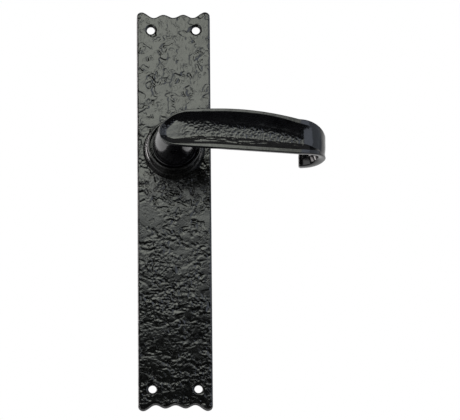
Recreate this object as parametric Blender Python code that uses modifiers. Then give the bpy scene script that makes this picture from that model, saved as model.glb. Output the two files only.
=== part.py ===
"""Sprung lever handle on a long cast backplate, as an assembly of separate pieces.

Everything is drawn in a bench frame, lying on its back as on a workbench: X to the lever's
side, Y up the door, Z out from the door towards the hand. The empty door_face turns that frame
upright, so that in the world +Z is up and the handle's front faces -Y. The origin is where the
spindle's axis meets the door. Sizes are in metres, written as millimetres times MM.
"""

import math

import bmesh
import bpy
import numpy as np

MM = 0.001

# Backplate: a long casting with wavy ends, a hollow back and a round boss on the spindle's axis
PLATE_WIDTH = 48 * MM
PLATE_TOP = 94.6 * MM
PLATE_BOTTOM = -173.4 * MM
PLATE_DEPTH = 5.5 * MM
PLATE_FRONT_WALL = 2.9 * MM
PLATE_SIDE_WALL = 3.2 * MM
PLATE_EDGE_BEVEL = 1.3 * MM
# Half of one wavy end: distance from the middle, and depth below the corner horn's tip
END_WAVE = [(0, 3.8), (6.5, 1.7), (12.7, 3.9), (20.8, 0)]
HORN_CORNER = (3.2 * MM, 3.2 * MM)

# Wood-screw holes, countersunk, two at each end
HOLE_SPREAD = 29.5 * MM
UPPER_HOLE_INSET = 12.6 * MM
LOWER_HOLE_INSET = 13.6 * MM
HOLE_RADIUS = 2.6 * MM
COUNTERSINK_RADIUS = 4.1 * MM

# Hollows in the plate's back, as (bottom, top), which leave its front wall, sides and cross ribs
POCKETS = {
    "upper_pocket": (36 * MM, 87.8 * MM),
    "middle_pocket": (-96 * MM, -36 * MM),
    "lower_pocket": (-166.6 * MM, -101 * MM),
}

# Boss and the chambers inside it
BOSS_RADIUS = 19.4 * MM
BOSS_RIM_RADIUS = 16.5 * MM
BOSS_HEIGHT = 17.4 * MM
COLLAR_RECESS_RADIUS = 15.3 * MM
WEB_FRONT = 14.4 * MM
WEB_BACK = 11.4 * MM
SPRING_CHAMBER_RADIUS = 15.4 * MM
DRIVER_CHAMBER_RADIUS = 17.0 * MM
DRIVER_CHAMBER_FRONT = 5.6 * MM

# Spring cover, let into the plate's back and held by four countersunk screws
COVER_SIZE = (39 * MM, 60 * MM)
COVER_CORNER = 6 * MM
COVER_BACK = 0.15 * MM
COVER_FRONT = 1.35 * MM
COVER_HOLE_RADIUS = 6.6 * MM
COVER_SCREW_PLACE = (14 * MM, 24 * MM)
COVER_SCREW_RADIUS = 1.5 * MM
COVER_SCREW_TIP = 4.0 * MM
COVER_SCREW_HEAD = 2.7 * MM

# Lever: root, straight blade, and a half-round hook that returns towards the door
FACE_OUT = 56 * MM
ROOT_X = -10.3 * MM
ROOT_HEIGHT = -1.9 * MM
BEND_X = 80.2 * MM
HOOK_RADIUS = 17 * MM
HOOK_TURN = math.radians(181)
HOOK_DROOP = 1.2 * MM
BLADE_EDGE_THICKNESS = 4.6 * MM
HOOK_EDGE_EXTRA = 0.8 * MM
BLADE_BACK_BULGE = 2.6 * MM
BULGE_HALF_WIDTH = 12 * MM
FRONT_EDGE_ROUND = 0.9 * MM
BACK_EDGE_ROUND = 2.0 * MM
HOOK_BACK_EDGE_ROUND = 1.0 * MM
UPPER_TIP_ROUND = 3.6 * MM
LOWER_TIP_ROUND = 1.7 * MM

# Dish in the blade's front: a steep wall round a floor that is itself slightly hollow
WALL_DEPTH = 2.5 * MM
ROOT_WALL_WIDTH = 4.0 * MM
LOWER_WALL_WIDTH = 6.4 * MM
WALL_NARROWING = 1.4 * MM
ROOT_CURVE_WIDTH = 3.5 * MM
UPPER_CURVE_WIDTH = 15.5 * MM
DISH_START = 0.9 * MM
DISH_END_TURN = math.radians(55)
DISH_RISE = 0.75
LOWER_RIM_AT_ROOT = 0.9 * MM
LOWER_RIM_GROWTH = 1.8 * MM
LOWER_RIM_LEAN = 0.35 * MM
LEAN_FADE = 5 * MM

# Lever's neck and journal
COLLAR_RADIUS = 14.9 * MM
COLLAR_BACK = 15.6 * MM
JOURNAL_RADIUS = 8.0 * MM
JOURNAL_END = 1.7 * MM
JOURNAL_FLATS = 12.4 * MM
JOURNAL_FLATS_FRONT = 5.3 * MM
GROOVE = (2.1 * MM, 3.0 * MM)
GROOVE_RADIUS = 7.0 * MM
SOCKET_DEPTH = 46.5 * MM

# Spindle and the grub screw that holds the lever on it
SPINDLE_SIZE = 8 * MM
SPINDLE_FRONT = 46.1 * MM
SPINDLE_BACK = -52 * MM
GRUB_OUT = 38 * MM
GRUB_RADIUS = 2.5 * MM
GRUB_SPAN = (4.3 * MM, 9.9 * MM)

# Return spring: a torsion coil between the boss and the driver
WIRE_DIAMETER = 1.5 * MM
COIL_RADIUS = 12.6 * MM
COIL_FRONT = 10.5 * MM
COIL_BACK = 6.5 * MM
FIXED_LEG_ANGLE = math.radians(200)
FIXED_LEG_REACH = 16.4 * MM
COIL_WHOLE_TURNS = 2
MOVING_LEG_TIP = 3.5 * MM

# Spring driver: a disc keyed on the journal, with a lug between two stops
DRIVER_SPAN = (3.3 * MM, 5.0 * MM)
DRIVER_RADIUS = 13.4 * MM
LUG_RADIUS = 16.5 * MM
LUG_ANGLE = math.radians(90)
LUG_HALF_WIDTH = math.radians(12)
LEVER_TRAVEL = math.radians(50)
STOP_CLEARANCE = math.radians(1.5)
STOP_WIDTH = math.radians(14)
STOP_INNER_RADIUS = 14.0 * MM

GAP = 0.3 * MM
ROUND_STEPS = 48
SMALL_ROUND_STEPS = 20
OVERRUN = 2 * MM


def clear_scene():
    for obj in list(bpy.data.objects):
        bpy.data.objects.remove(obj)


def material(name, colour, roughness, metallic):
    made = bpy.data.materials.new(name)
    made.use_nodes = True
    shader = made.node_tree.nodes["Principled BSDF"]
    shader.inputs["Base Color"].default_value = (*colour, 1)
    shader.inputs["Roughness"].default_value = roughness
    shader.inputs["Metallic"].default_value = metallic
    return made


def collection(name):
    made = bpy.data.collections.new(name)
    bpy.context.scene.collection.children.link(made)
    return made


clear_scene()
PARTS = collection("lever_handle")
CUTTERS = collection("cutters")
CUTTERS.hide_render = True

BLACK_PAINT = material("black_paint", (0.012, 0.012, 0.013), 0.3, 0.0)
ZINC_STEEL = material("zinc_steel", (0.55, 0.56, 0.58), 0.35, 1.0)
SPRING_STEEL = material("spring_steel", (0.30, 0.30, 0.32), 0.3, 1.0)
BRONZE = material("sintered_bronze", (0.45, 0.30, 0.14), 0.45, 1.0)
NYLON = material("nylon", (0.75, 0.74, 0.68), 0.5, 0.0)
BLACK_STEEL = material("blackened_steel", (0.03, 0.03, 0.032), 0.4, 1.0)


def empty(name, parent=None):
    made = bpy.data.objects.new(name, None)
    PARTS.objects.link(made)
    made.parent = parent
    return made


DOOR_FACE = empty("door_face")
DOOR_FACE.rotation_euler = (math.pi / 2, 0, 0)
LEVER_PIVOT = empty("lever_pivot", DOOR_FACE)


# ---------------------------------------------------------------- helpers


def place(obj, parent, paint=None):
    """Puts an object among the parts, or among the cutters when it has no paint."""
    obj.parent = parent
    if paint is None:
        CUTTERS.objects.link(obj)
        obj.hide_render = True
        obj.display_type = "WIRE"
    else:
        PARTS.objects.link(obj)
        obj.data.materials.append(paint)
    return obj


def from_bmesh(name, made, parent, paint=None):
    mesh = bpy.data.meshes.new(name)
    bmesh.ops.recalc_face_normals(made, faces=made.faces)
    made.to_mesh(mesh)
    made.free()
    return place(bpy.data.objects.new(name, mesh), parent, paint)


def turned(name, profile, parent, paint=None, steps=ROUND_STEPS, closed=False):
    """A profile of (radius, out) turned about the spindle's axis, listed down its outer side."""
    made = bmesh.new()
    points = [made.verts.new((radius, 0, out)) for radius, out in profile]
    for first, second in zip(points, points[1:]):
        made.edges.new((first, second))
    if closed:
        made.edges.new((points[-1], points[0]))
    mesh = bpy.data.meshes.new(name)
    made.to_mesh(mesh)
    made.free()
    obj = place(bpy.data.objects.new(name, mesh), parent, paint)
    screw = obj.modifiers.new("turn", "SCREW")
    screw.steps = steps
    screw.render_steps = steps
    screw.use_merge_vertices = True
    screw.merge_threshold = 0.01 * MM
    return obj


def cylinder(name, radius, span, place_at, parent, paint=None, steps=SMALL_ROUND_STEPS):
    """A cylinder along the out direction, from span[0] to span[1], at place_at."""
    made = bmesh.new()
    bmesh.ops.create_cone(
        made,
        cap_ends=True,
        segments=steps,
        radius1=radius,
        radius2=radius,
        depth=span[1] - span[0],
    )
    bmesh.ops.translate(made, verts=made.verts, vec=(*place_at, sum(span) / 2))
    return from_bmesh(name, made, parent, paint)


def block(name, low, high, parent, paint=None):
    made = bmesh.new()
    bmesh.ops.create_cube(made, size=1)
    size = [high[axis] - low[axis] for axis in range(3)]
    middle = [(high[axis] + low[axis]) / 2 for axis in range(3)]
    bmesh.ops.scale(made, verts=made.verts, vec=size)
    bmesh.ops.translate(made, verts=made.verts, vec=middle)
    return from_bmesh(name, made, parent, paint)


def flat_piece(name, loops, span, parent, paint=None):
    """A flat piece from closed outlines in the door's plane, the first the outside."""
    curve = bpy.data.curves.new(name, "CURVE")
    curve.dimensions = "2D"
    curve.fill_mode = "BOTH"
    curve.extrude = (span[1] - span[0]) / 2
    for loop in loops:
        spline = curve.splines.new("POLY")
        spline.points.add(len(loop) - 1)
        for point, (x, up) in zip(spline.points, loop):
            point.co = (x, up, 0, 1)
        spline.use_cyclic_u = True
    guide = bpy.data.objects.new(name + "_outline", curve)
    CUTTERS.objects.link(guide)
    graph = bpy.context.evaluated_depsgraph_get()
    mesh = bpy.data.meshes.new_from_object(guide.evaluated_get(graph))
    bpy.data.objects.remove(guide)
    made = bmesh.new()
    made.from_mesh(mesh)
    bpy.data.meshes.remove(mesh)
    bmesh.ops.remove_doubles(made, verts=made.verts, dist=0.001 * MM)
    bmesh.ops.translate(made, verts=made.verts, vec=(0, 0, sum(span) / 2))
    return from_bmesh(name, made, parent, paint)


def boolean(obj, other, operation="DIFFERENCE"):
    modifier = obj.modifiers.new(operation.lower(), "BOOLEAN")
    modifier.operation = operation
    modifier.object = other
    return obj


def arc(radius, start, end, count, centre=(0, 0)):
    angles = np.linspace(start, end, count)
    return [(centre[0] + radius * math.cos(a), centre[1] + radius * math.sin(a)) for a in angles]


def rounded_rectangle(width, height, corner, middle=(0, 0), count=4):
    points = []
    for quarter, (side, end) in enumerate([(1, 1), (-1, 1), (-1, -1), (1, -1)]):
        centre = (
            middle[0] + side * (width / 2 - corner),
            middle[1] + end * (height / 2 - corner),
        )
        start = quarter * math.pi / 2
        points += arc(corner, start, start + math.pi / 2, count, centre)
    return points


def shade(obj):
    obj.data.shade_smooth()
    obj.data.set_sharp_from_angle(angle=math.radians(35))


# ---------------------------------------------------------------- backplate


def wavy_end(tip, direction):
    """Points of one end from left to right, with horn tips at height tip and the plate below."""
    half = []
    for (x0, depth0), (x1, depth1) in zip(END_WAVE, END_WAVE[1:]):
        for share in np.linspace(0, 1, 5)[:-1]:
            blend = (1 - math.cos(math.pi * share)) / 2
            half.append(((x0 + (x1 - x0) * share) * MM, (depth0 + (depth1 - depth0) * blend) * MM))
    across, down = HORN_CORNER
    for angle in np.linspace(math.pi / 2, 0, 5):
        x = PLATE_WIDTH / 2 - across * (1 - math.cos(angle))
        half.append((x, down * (1 - math.sin(angle))))
    right = [(x, tip - direction * depth) for x, depth in half]
    left = [(-x, up) for x, up in reversed(right[1:])]
    return left + right


def plate_blank():
    outline = wavy_end(PLATE_TOP, 1) + wavy_end(PLATE_BOTTOM, -1)[::-1]
    made = bmesh.new()
    face = made.faces.new([made.verts.new((x, up, 0)) for x, up in outline])
    grown = bmesh.ops.extrude_face_region(made, geom=[face])
    front = [item for item in grown["geom"] if isinstance(item, bmesh.types.BMVert)]
    bmesh.ops.translate(made, verts=front, vec=(0, 0, PLATE_DEPTH))
    edges = [edge for edge in made.edges if all(vert in front for vert in edge.verts)]
    bmesh.ops.bevel(
        made, geom=edges, offset=PLATE_EDGE_BEVEL, segments=2, profile=0.5, affect="EDGES"
    )
    return from_bmesh("backplate", made, DOOR_FACE, BLACK_PAINT)


def boss_blank():
    """The boss: a stepped, slightly flared wall up to a rounded rim."""
    rim = [
        (BOSS_RIM_RADIUS + 0.85 * MM * math.sin(angle), BOSS_HEIGHT - 0.8 * MM * (1 - math.cos(angle)))
        for angle in np.linspace(-math.pi / 2, math.pi / 2, 7)
    ]
    profile = [
        (0, 13 * MM),
        (14.6 * MM, 13 * MM),
        (15.2 * MM, BOSS_HEIGHT - 2.2 * MM),
        *rim,
        (17.6 * MM, 14.4 * MM),
        (17.9 * MM, 11.6 * MM),
        (18.4 * MM, 10.2 * MM),
        (18.9 * MM, 9.9 * MM),
        (19.1 * MM, 8.4 * MM),
        (BOSS_RADIUS, 6.4 * MM),
        (BOSS_RADIUS + 0.7 * MM, PLATE_DEPTH - 0.2 * MM),
        (BOSS_RADIUS, 3 * MM),
        (0, 3 * MM),
    ]
    return turned("boss_blank", profile, DOOR_FACE)


def boss_cutter():
    """The chambers of the boss, from the cover's seat at the back to the collar recess in front."""
    bush_hole = 10.3 * MM
    profile = [
        (0, BOSS_HEIGHT + OVERRUN),
        (COLLAR_RECESS_RADIUS, BOSS_HEIGHT + OVERRUN),
        (COLLAR_RECESS_RADIUS, WEB_FRONT),
        (bush_hole, WEB_FRONT),
        (bush_hole, WEB_BACK),
        (SPRING_CHAMBER_RADIUS, WEB_BACK),
        (SPRING_CHAMBER_RADIUS, DRIVER_CHAMBER_FRONT),
        (DRIVER_CHAMBER_RADIUS, DRIVER_CHAMBER_FRONT),
        (DRIVER_CHAMBER_RADIUS, -OVERRUN),
        (0, -OVERRUN),
    ]
    return turned("boss_chambers", profile, DOOR_FACE)


def stop_block(name, start):
    """A cast stop in the driver chamber, from the angle start, STOP_WIDTH wide."""
    outer = DRIVER_CHAMBER_RADIUS + 0.8 * MM
    loop = arc(outer, start, start + STOP_WIDTH, 4)
    loop += arc(STOP_INNER_RADIUS, start + STOP_WIDTH, start, 4)
    return flat_piece(name, [loop], (1.9 * MM, DRIVER_CHAMBER_FRONT + 0.6 * MM), DOOR_FACE)


def countersunk_cutter(name, x, up):
    depth = COUNTERSINK_RADIUS - HOLE_RADIUS
    profile = [
        (0, PLATE_DEPTH + OVERRUN),
        (COUNTERSINK_RADIUS, PLATE_DEPTH + OVERRUN),
        (COUNTERSINK_RADIUS, PLATE_DEPTH),
        (HOLE_RADIUS, PLATE_DEPTH - depth),
        (HOLE_RADIUS, -OVERRUN),
        (0, -OVERRUN),
    ]
    cutter = turned(name, profile, DOOR_FACE, steps=24)
    cutter.location = (x, up, 0)
    return cutter


def pocket(name, low, high):
    """One hollow in the plate's back between two heights."""
    width = PLATE_WIDTH - 2 * PLATE_SIDE_WALL
    loop = rounded_rectangle(width, high - low, 4 * MM, (0, (low + high) / 2), 3)
    return flat_piece(name, [loop], (-OVERRUN, PLATE_DEPTH - PLATE_FRONT_WALL), DOOR_FACE)


def cover_screw_places():
    x, up = COVER_SCREW_PLACE
    return [(-x, up), (x, up), (-x, -up), (x, -up)]


def build_backplate():
    plate = plate_blank()
    boolean(plate, boss_blank(), "UNION")
    boolean(plate, boss_cutter())
    first_stop = LUG_ANGLE + LUG_HALF_WIDTH + STOP_CLEARANCE
    last_stop = LUG_ANGLE - LUG_HALF_WIDTH - LEVER_TRAVEL - STOP_CLEARANCE - STOP_WIDTH
    boolean(plate, stop_block("rest_stop", first_stop), "UNION")
    boolean(plate, stop_block("travel_stop", last_stop), "UNION")
    seat = rounded_rectangle(
        COVER_SIZE[0] + 2 * GAP, COVER_SIZE[1] + 2 * GAP, COVER_CORNER + GAP
    )
    boolean(plate, flat_piece("cover_seat", [seat], (-OVERRUN, COVER_FRONT + GAP), DOOR_FACE))
    slot = block(
        "spring_leg_slot",
        (SPRING_CHAMBER_RADIUS - MM, -1.1 * MM, -OVERRUN),
        (FIXED_LEG_REACH + 0.5 * MM, 1.1 * MM, WEB_BACK),
        DOOR_FACE,
    )
    slot.rotation_euler = (0, 0, FIXED_LEG_ANGLE)
    boolean(plate, slot)
    for name, (low, high) in POCKETS.items():
        boolean(plate, pocket(name, low, high))
    for number, (x, up) in enumerate(cover_screw_places(), 1):
        radius = COVER_SCREW_RADIUS + GAP
        span = (-OVERRUN, COVER_SCREW_TIP + GAP)
        boolean(plate, cylinder(f"cover_screw_hole_{number}", radius, span, (x, up), DOOR_FACE))
    for name, up in [
        ("upper", PLATE_TOP - UPPER_HOLE_INSET),
        ("lower", PLATE_BOTTOM + LOWER_HOLE_INSET),
    ]:
        for side, x in [("left", -HOLE_SPREAD / 2), ("right", HOLE_SPREAD / 2)]:
            boolean(plate, countersunk_cutter(f"{name}_{side}_hole", x, up))
    return plate


def build_cover():
    outside = rounded_rectangle(*COVER_SIZE, COVER_CORNER)
    centre = arc(COVER_HOLE_RADIUS, 0, 2 * math.pi, 29)[:-1]
    cover = flat_piece(
        "spring_cover", [outside, centre], (COVER_BACK, COVER_FRONT), DOOR_FACE, ZINC_STEEL
    )
    for number, (x, up) in enumerate(cover_screw_places(), 1):
        head = COVER_SCREW_HEAD + GAP
        hole = COVER_SCREW_RADIUS + GAP
        profile = [
            (0, COVER_FRONT + OVERRUN),
            (hole, COVER_FRONT + OVERRUN),
            (hole, COVER_BACK + head - hole),
            (head, COVER_BACK),
            (head, -OVERRUN),
            (0, -OVERRUN),
        ]
        cutter = turned(f"cover_hole_{number}", profile, DOOR_FACE, steps=SMALL_ROUND_STEPS)
        cutter.location = (x, up, 0)
        boolean(cover, cutter)
    return cover


def build_cover_screw(number, x, up):
    head_back = COVER_BACK + 0.1 * MM
    cone = COVER_SCREW_HEAD - COVER_SCREW_RADIUS
    profile = [
        (0, COVER_SCREW_TIP),
        (COVER_SCREW_RADIUS - 0.5 * MM, COVER_SCREW_TIP),
        (COVER_SCREW_RADIUS, COVER_SCREW_TIP - 0.5 * MM),
        (COVER_SCREW_RADIUS, head_back + cone),
        (COVER_SCREW_HEAD, head_back),
        (0, head_back),
    ]
    screw = turned(
        f"cover_screw_{number}", profile, DOOR_FACE, ZINC_STEEL, steps=SMALL_ROUND_STEPS
    )
    screw.location = (x, up, 0)
    slot = block(
        f"cover_screw_slot_{number}",
        (x - 4 * MM, up - 0.4 * MM, -OVERRUN),
        (x + 4 * MM, up + 0.4 * MM, head_back + 0.6 * MM),
        DOOR_FACE,
    )
    return boolean(screw, slot)


# ---------------------------------------------------------------- lever

STRAIGHT = BEND_X - ROOT_X
BLADE_LENGTH = STRAIGHT + HOOK_TURN * HOOK_RADIUS
DISH_END = STRAIGHT + DISH_END_TURN * HOOK_RADIUS


def ease(value, low, high):
    """0 below low, 1 above high, and a smooth rise between them."""
    share = min(1.0, max(0.0, (value - low) / (high - low)))
    return share * share * (3 - 2 * share)


def hook_turn(along):
    """How far the blade has turned round the hook at a distance along it."""
    return max(0.0, along - STRAIGHT) / HOOK_RADIUS


def blade_path(along):
    """The outer face's point (x, out) and outward normal at a distance along the blade."""
    turn = hook_turn(along)
    x = ROOT_X + min(along, STRAIGHT) + HOOK_RADIUS * math.sin(turn)
    out = FACE_OUT - HOOK_RADIUS * (1 - math.cos(turn))
    return (x, out), (math.sin(turn), math.cos(turn))


def rounded_root(along, reach, power):
    """1 along the blade, falling to 0 at the root's end, over the length reach."""
    share = max(0.0, 1 - along / reach)
    return (1 - share**2) ** power


def tip_inset(along, radius):
    """How far an edge has turned in at the hook's tip."""
    left = radius - (BLADE_LENGTH - along)
    if left <= 0:
        return 0.0
    return radius - math.sqrt(max(0.0, radius**2 - left**2))


def blade_top(along):
    """Height of the arched upper edge: it peaks near a third and dives round the hook."""
    x = ROOT_X + min(along, STRAIGHT)
    steepness = 0.9 if x < 28 * MM else 2.716
    arch = 12.7 * MM - steepness * (x - 28 * MM) ** 2
    dive = 12.2 * MM * math.sin(min(1, hook_turn(along) / math.radians(150)) * math.pi / 2) ** 1.9
    edge = ROOT_HEIGHT + (arch - ROOT_HEIGHT) * rounded_root(along, 22 * MM, 0.61)
    return edge - dive - tip_inset(along, UPPER_TIP_ROUND)


def blade_bottom(along):
    """Height of the lower edge: nearly straight, and round the hook it lifts and then droops."""
    x = ROOT_X + min(along, STRAIGHT)
    slope = -13.0 * MM - 0.0712 * (x - 14 * MM)
    turn = hook_turn(along)
    lift = 0.5 * MM * (1 - math.cos(min(turn, math.pi / 2) * 2))
    droop = HOOK_DROOP * ease(turn, math.radians(95), math.radians(160))
    edge = ROOT_HEIGHT + (slope - ROOT_HEIGHT) * rounded_root(along, 10.5 * MM, 0.45)
    return edge + lift - droop + tip_inset(along, LOWER_TIP_ROUND)


def upper_rim(along):
    """Width of the flat rim above the dish, which grows along the blade."""
    return (0.9 + 1.2 * ease(along, 2 * MM, 26 * MM) + 1.5 * ease(along, 70 * MM, 103 * MM)) * MM


def lower_rim(along):
    """Width of the rim below the dish, which is narrow at the root and grows to 40 mm along."""
    return LOWER_RIM_AT_ROOT + LOWER_RIM_GROWTH * ease(along, 0, 40 * MM)


def outline(start, end, top, bottom):
    """A closed outline of (along, up) points between two edges, unrolled flat."""
    steps = start + (end - start) * (1 - np.cos(np.linspace(0, math.pi, 181))) / 2
    upper = [(along, top(along)) for along in steps]
    lower = [(along, bottom(along)) for along in steps[::-1]]
    return np.array(upper + lower)


def distance_to(outline, point):
    """Shortest distance from a point to a closed outline."""
    start = outline
    step = np.roll(outline, -1, axis=0) - outline
    length = np.maximum((step**2).sum(axis=1), 1e-18)
    share = np.clip(((point - start) * step).sum(axis=1) / length, 0, 1)
    nearest = start + step * share[:, None]
    return float(np.sqrt(((nearest - point) ** 2).sum(axis=1)).min())


def edge_drop(distance, radius):
    """How far a rounded edge has fallen at this distance from the outline."""
    if distance >= radius:
        return 0.0
    return radius - math.sqrt(radius**2 - (radius - distance) ** 2)


def swell(distance, width, power=2.2):
    """Rises from 0 to 1 at width, steep first and then level."""
    return 1 - (1 - min(1.0, max(0.0, distance / width))) ** power


def dish_top(along):
    return blade_top(along) - upper_rim(along)


def dish_bottom(along):
    return blade_bottom(along) + lower_rim(along)


def dish_wall_top(along):
    """Upper edge of the outline that the steep wall follows: past the root it is out of reach."""
    return dish_top(along) + 30 * MM * ease(along, 6 * MM, 20 * MM)


def dish_depth(dish, along, up):
    """Depth of the dish and of the lower rim's lean towards it, below the blade's face.

    A steep wall follows the root and the lower edge. From the upper edge the dish curves in gently.
    """
    low, high = dish_bottom(along), dish_top(along)
    lean = LOWER_RIM_LEAN * ease(up, blade_bottom(along), low) * ease(along, 8 * MM, 26 * MM)
    lean *= 1 - ease(up, low, low + LEAN_FADE)
    if not (DISH_START < along < DISH_END and low < up < high):
        return lean
    grown = ease(along, 8 * MM, 28 * MM)
    width = ROOT_WALL_WIDTH + (LOWER_WALL_WIDTH - ROOT_WALL_WIDTH) * grown
    width -= WALL_NARROWING * ease(along, 50 * MM, 85 * MM)
    reach = ROOT_CURVE_WIDTH + (UPPER_CURVE_WIDTH - ROOT_CURVE_WIDTH) * grown
    fading = 1 - DISH_RISE * ease(along, STRAIGHT, DISH_END)
    wall = swell(distance_to(dish, (along, up)), width * fading, 1.15)
    return lean + WALL_DEPTH * wall * swell(high - up, reach, 2.4) * fading


def blade_mesh():
    """The blade and hook: sections across the path, dished in front and swelled behind."""
    whole = outline(0, BLADE_LENGTH, blade_top, blade_bottom)
    dish = outline(DISH_START, DISH_END, dish_wall_top, dish_bottom)
    root = 24 * MM * (1 - np.cos(np.linspace(0.2, math.pi / 2, 7)))
    blade = np.linspace(24 * MM, STRAIGHT, 9)[1:]
    hook = STRAIGHT + (BLADE_LENGTH - STRAIGHT) * np.linspace(0, 1, 17)[1:-1]
    tip = BLADE_LENGTH - np.array([2.2, 1.2, 0.4, 0.1]) * MM
    stations = [*root, *blade, *hook, *tip]
    across = np.sin(np.linspace(math.pi / 2, -math.pi / 2, 13))
    made = bmesh.new()
    rings = []
    for along in stations:
        (x, out), (nx, nout) = blade_path(along)
        middle = (blade_top(along) + blade_bottom(along)) / 2
        half = (blade_top(along) - blade_bottom(along)) / 2
        hooked = ease(hook_turn(along), math.radians(60), math.radians(120))
        extra = HOOK_EDGE_EXTRA * hooked
        back_round = BACK_EDGE_ROUND + (HOOK_BACK_EDGE_ROUND - BACK_EDGE_ROUND) * hooked
        front = []
        back = []
        for share in across:
            up = middle + half * share
            edge = distance_to(whole, (along, up))
            front_depth = edge_drop(edge, FRONT_EDGE_ROUND) + dish_depth(dish, along, up)
            bulge = (BLADE_BACK_BULGE - extra) * swell(edge, BULGE_HALF_WIDTH)
            back_depth = BLADE_EDGE_THICKNESS + extra + bulge - edge_drop(edge, back_round)
            front.append((x - nx * front_depth, up, out - nout * front_depth))
            back.append((x - nx * back_depth, up, out - nout * back_depth))
        rings.append([made.verts.new(point) for point in front + back[::-1]])
    for first, second in zip(rings, rings[1:]):
        for index in range(len(first)):
            after = (index + 1) % len(first)
            made.faces.new((first[index], first[after], second[after], second[index]))
    made.faces.new(rings[0])
    made.faces.new(rings[-1])
    return made


def neck_profile():
    """Neck, collar and journal, from the neck's front inside the blade to the journal's end."""
    collar_edge = [
        (14.2 * MM + 0.7 * MM * math.sin(angle), 17.5 * MM - 0.7 * MM * (1 - math.cos(angle)))
        for angle in np.linspace(-math.pi / 3, math.pi / 2, 5)
    ]
    bell = [(13.7, 17.6), (13.6, 19.5), (13.3, 24), (12.7, 30), (11.8, 36), (10.7, 42), (9.7, 47)]
    crown = [(8.3, 49.8), (6.5, 51.2), (0, 51.2)]
    profile = [(radius * MM, out * MM) for radius, out in reversed(bell + crown)]
    return profile + [
        *collar_edge,
        (COLLAR_RADIUS, COLLAR_BACK),
        (JOURNAL_RADIUS, COLLAR_BACK),
        (JOURNAL_RADIUS, GROOVE[1]),
        (GROOVE_RADIUS, GROOVE[1]),
        (GROOVE_RADIUS, GROOVE[0]),
        (JOURNAL_RADIUS, GROOVE[0]),
        (JOURNAL_RADIUS, JOURNAL_END),
        (0, JOURNAL_END),
    ]


def build_lever():
    lever = from_bmesh("lever", blade_mesh(), LEVER_PIVOT, BLACK_PAINT)
    boolean(lever, turned("neck_blank", neck_profile(), LEVER_PIVOT), "UNION")
    half = SPINDLE_SIZE / 2 + GAP
    socket = block(
        "spindle_socket", (-half, -half, -OVERRUN), (half, half, SOCKET_DEPTH), LEVER_PIVOT
    )
    boolean(lever, socket)
    for side in (1, -1):
        flat = block(
            "journal_flat_upper" if side > 0 else "journal_flat_lower",
            (-JOURNAL_RADIUS - MM, side * JOURNAL_FLATS / 2, -OVERRUN),
            (JOURNAL_RADIUS + MM, side * (JOURNAL_RADIUS + MM), JOURNAL_FLATS_FRONT),
            LEVER_PIVOT,
        )
        boolean(lever, flat)
    hole = cylinder(
        "grub_hole", GRUB_RADIUS + GAP, (3 * MM, 16 * MM), (0, 0), LEVER_PIVOT, steps=16
    )
    hole.rotation_euler = (math.pi / 2, 0, 0)
    hole.location = (0, 0, GRUB_OUT)
    boolean(lever, hole)
    return lever


def build_grub_screw():
    """A cup-point socket grub screw, driven up from the underside of the neck."""
    inner, outer = GRUB_SPAN
    chamfer = 0.5 * MM
    profile = [
        (0, outer),
        (GRUB_RADIUS - chamfer, outer),
        (GRUB_RADIUS, outer - chamfer),
        (GRUB_RADIUS, inner + 2 * chamfer),
        (GRUB_RADIUS - 2 * chamfer, inner),
        (0, inner),
    ]
    screw = turned("grub_screw", profile, LEVER_PIVOT, BLACK_STEEL, steps=SMALL_ROUND_STEPS)
    screw.rotation_euler = (math.pi / 2, 0, 0)
    screw.location = (0, 0, GRUB_OUT)
    span = (outer - 2.4 * MM, outer + OVERRUN)
    hexagon = cylinder("grub_hexagon", 1.45 * MM, span, (0, 0), LEVER_PIVOT, steps=6)
    hexagon.rotation_euler = screw.rotation_euler
    hexagon.location = screw.location
    return boolean(screw, hexagon)


def build_spindle():
    half = SPINDLE_SIZE / 2
    spindle = block(
        "spindle", (-half, -half, SPINDLE_BACK), (half, half, SPINDLE_FRONT), LEVER_PIVOT, ZINC_STEEL
    )
    bevel = spindle.modifiers.new("edges", "BEVEL")
    bevel.width = 0.4 * MM
    bevel.segments = 1
    return spindle


# ---------------------------------------------------------------- pieces inside the boss


def build_thrust_washer():
    front, back = COLLAR_BACK - GAP, WEB_FRONT + GAP
    inner, outer = 10.4 * MM, 14.6 * MM
    profile = [(outer, front), (outer, back), (inner, back), (inner, front)]
    return turned("thrust_washer", profile, LEVER_PIVOT, NYLON, closed=True)


def build_neck_bush():
    inner = JOURNAL_RADIUS + GAP
    outer, flange = 10.0 * MM, 11.3 * MM
    shoulder = WEB_BACK - GAP
    profile = [
        (outer, WEB_FRONT),
        (outer, shoulder),
        (flange, shoulder),
        (flange, shoulder - MM),
        (inner, shoulder - MM),
        (inner, WEB_FRONT),
    ]
    return turned("neck_bush", profile, DOOR_FACE, BRONZE, closed=True)


def keyed_hole(radius, flats):
    """A round hole with two flats above and below, as on the journal."""
    corner = math.asin(flats / 2 / radius)
    return arc(radius, -corner, corner, 7) + arc(radius, math.pi - corner, math.pi + corner, 7)


def build_spring_driver():
    start, end = LUG_ANGLE - LUG_HALF_WIDTH, LUG_ANGLE + LUG_HALF_WIDTH
    outside = arc(LUG_RADIUS, start, end, 5)
    outside += arc(DRIVER_RADIUS, end + 0.02, start + 2 * math.pi - 0.02, 37)
    hole = keyed_hole(JOURNAL_RADIUS + GAP, JOURNAL_FLATS + 2 * GAP)
    leg = (COIL_RADIUS * math.cos(LUG_ANGLE), COIL_RADIUS * math.sin(LUG_ANGLE))
    leg_hole = arc(WIRE_DIAMETER / 2 + 0.4 * MM, 0, 2 * math.pi, 15, leg)[:-1]
    return flat_piece(
        "spring_driver", [outside, hole, leg_hole], DRIVER_SPAN, LEVER_PIVOT, ZINC_STEEL
    )


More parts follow.
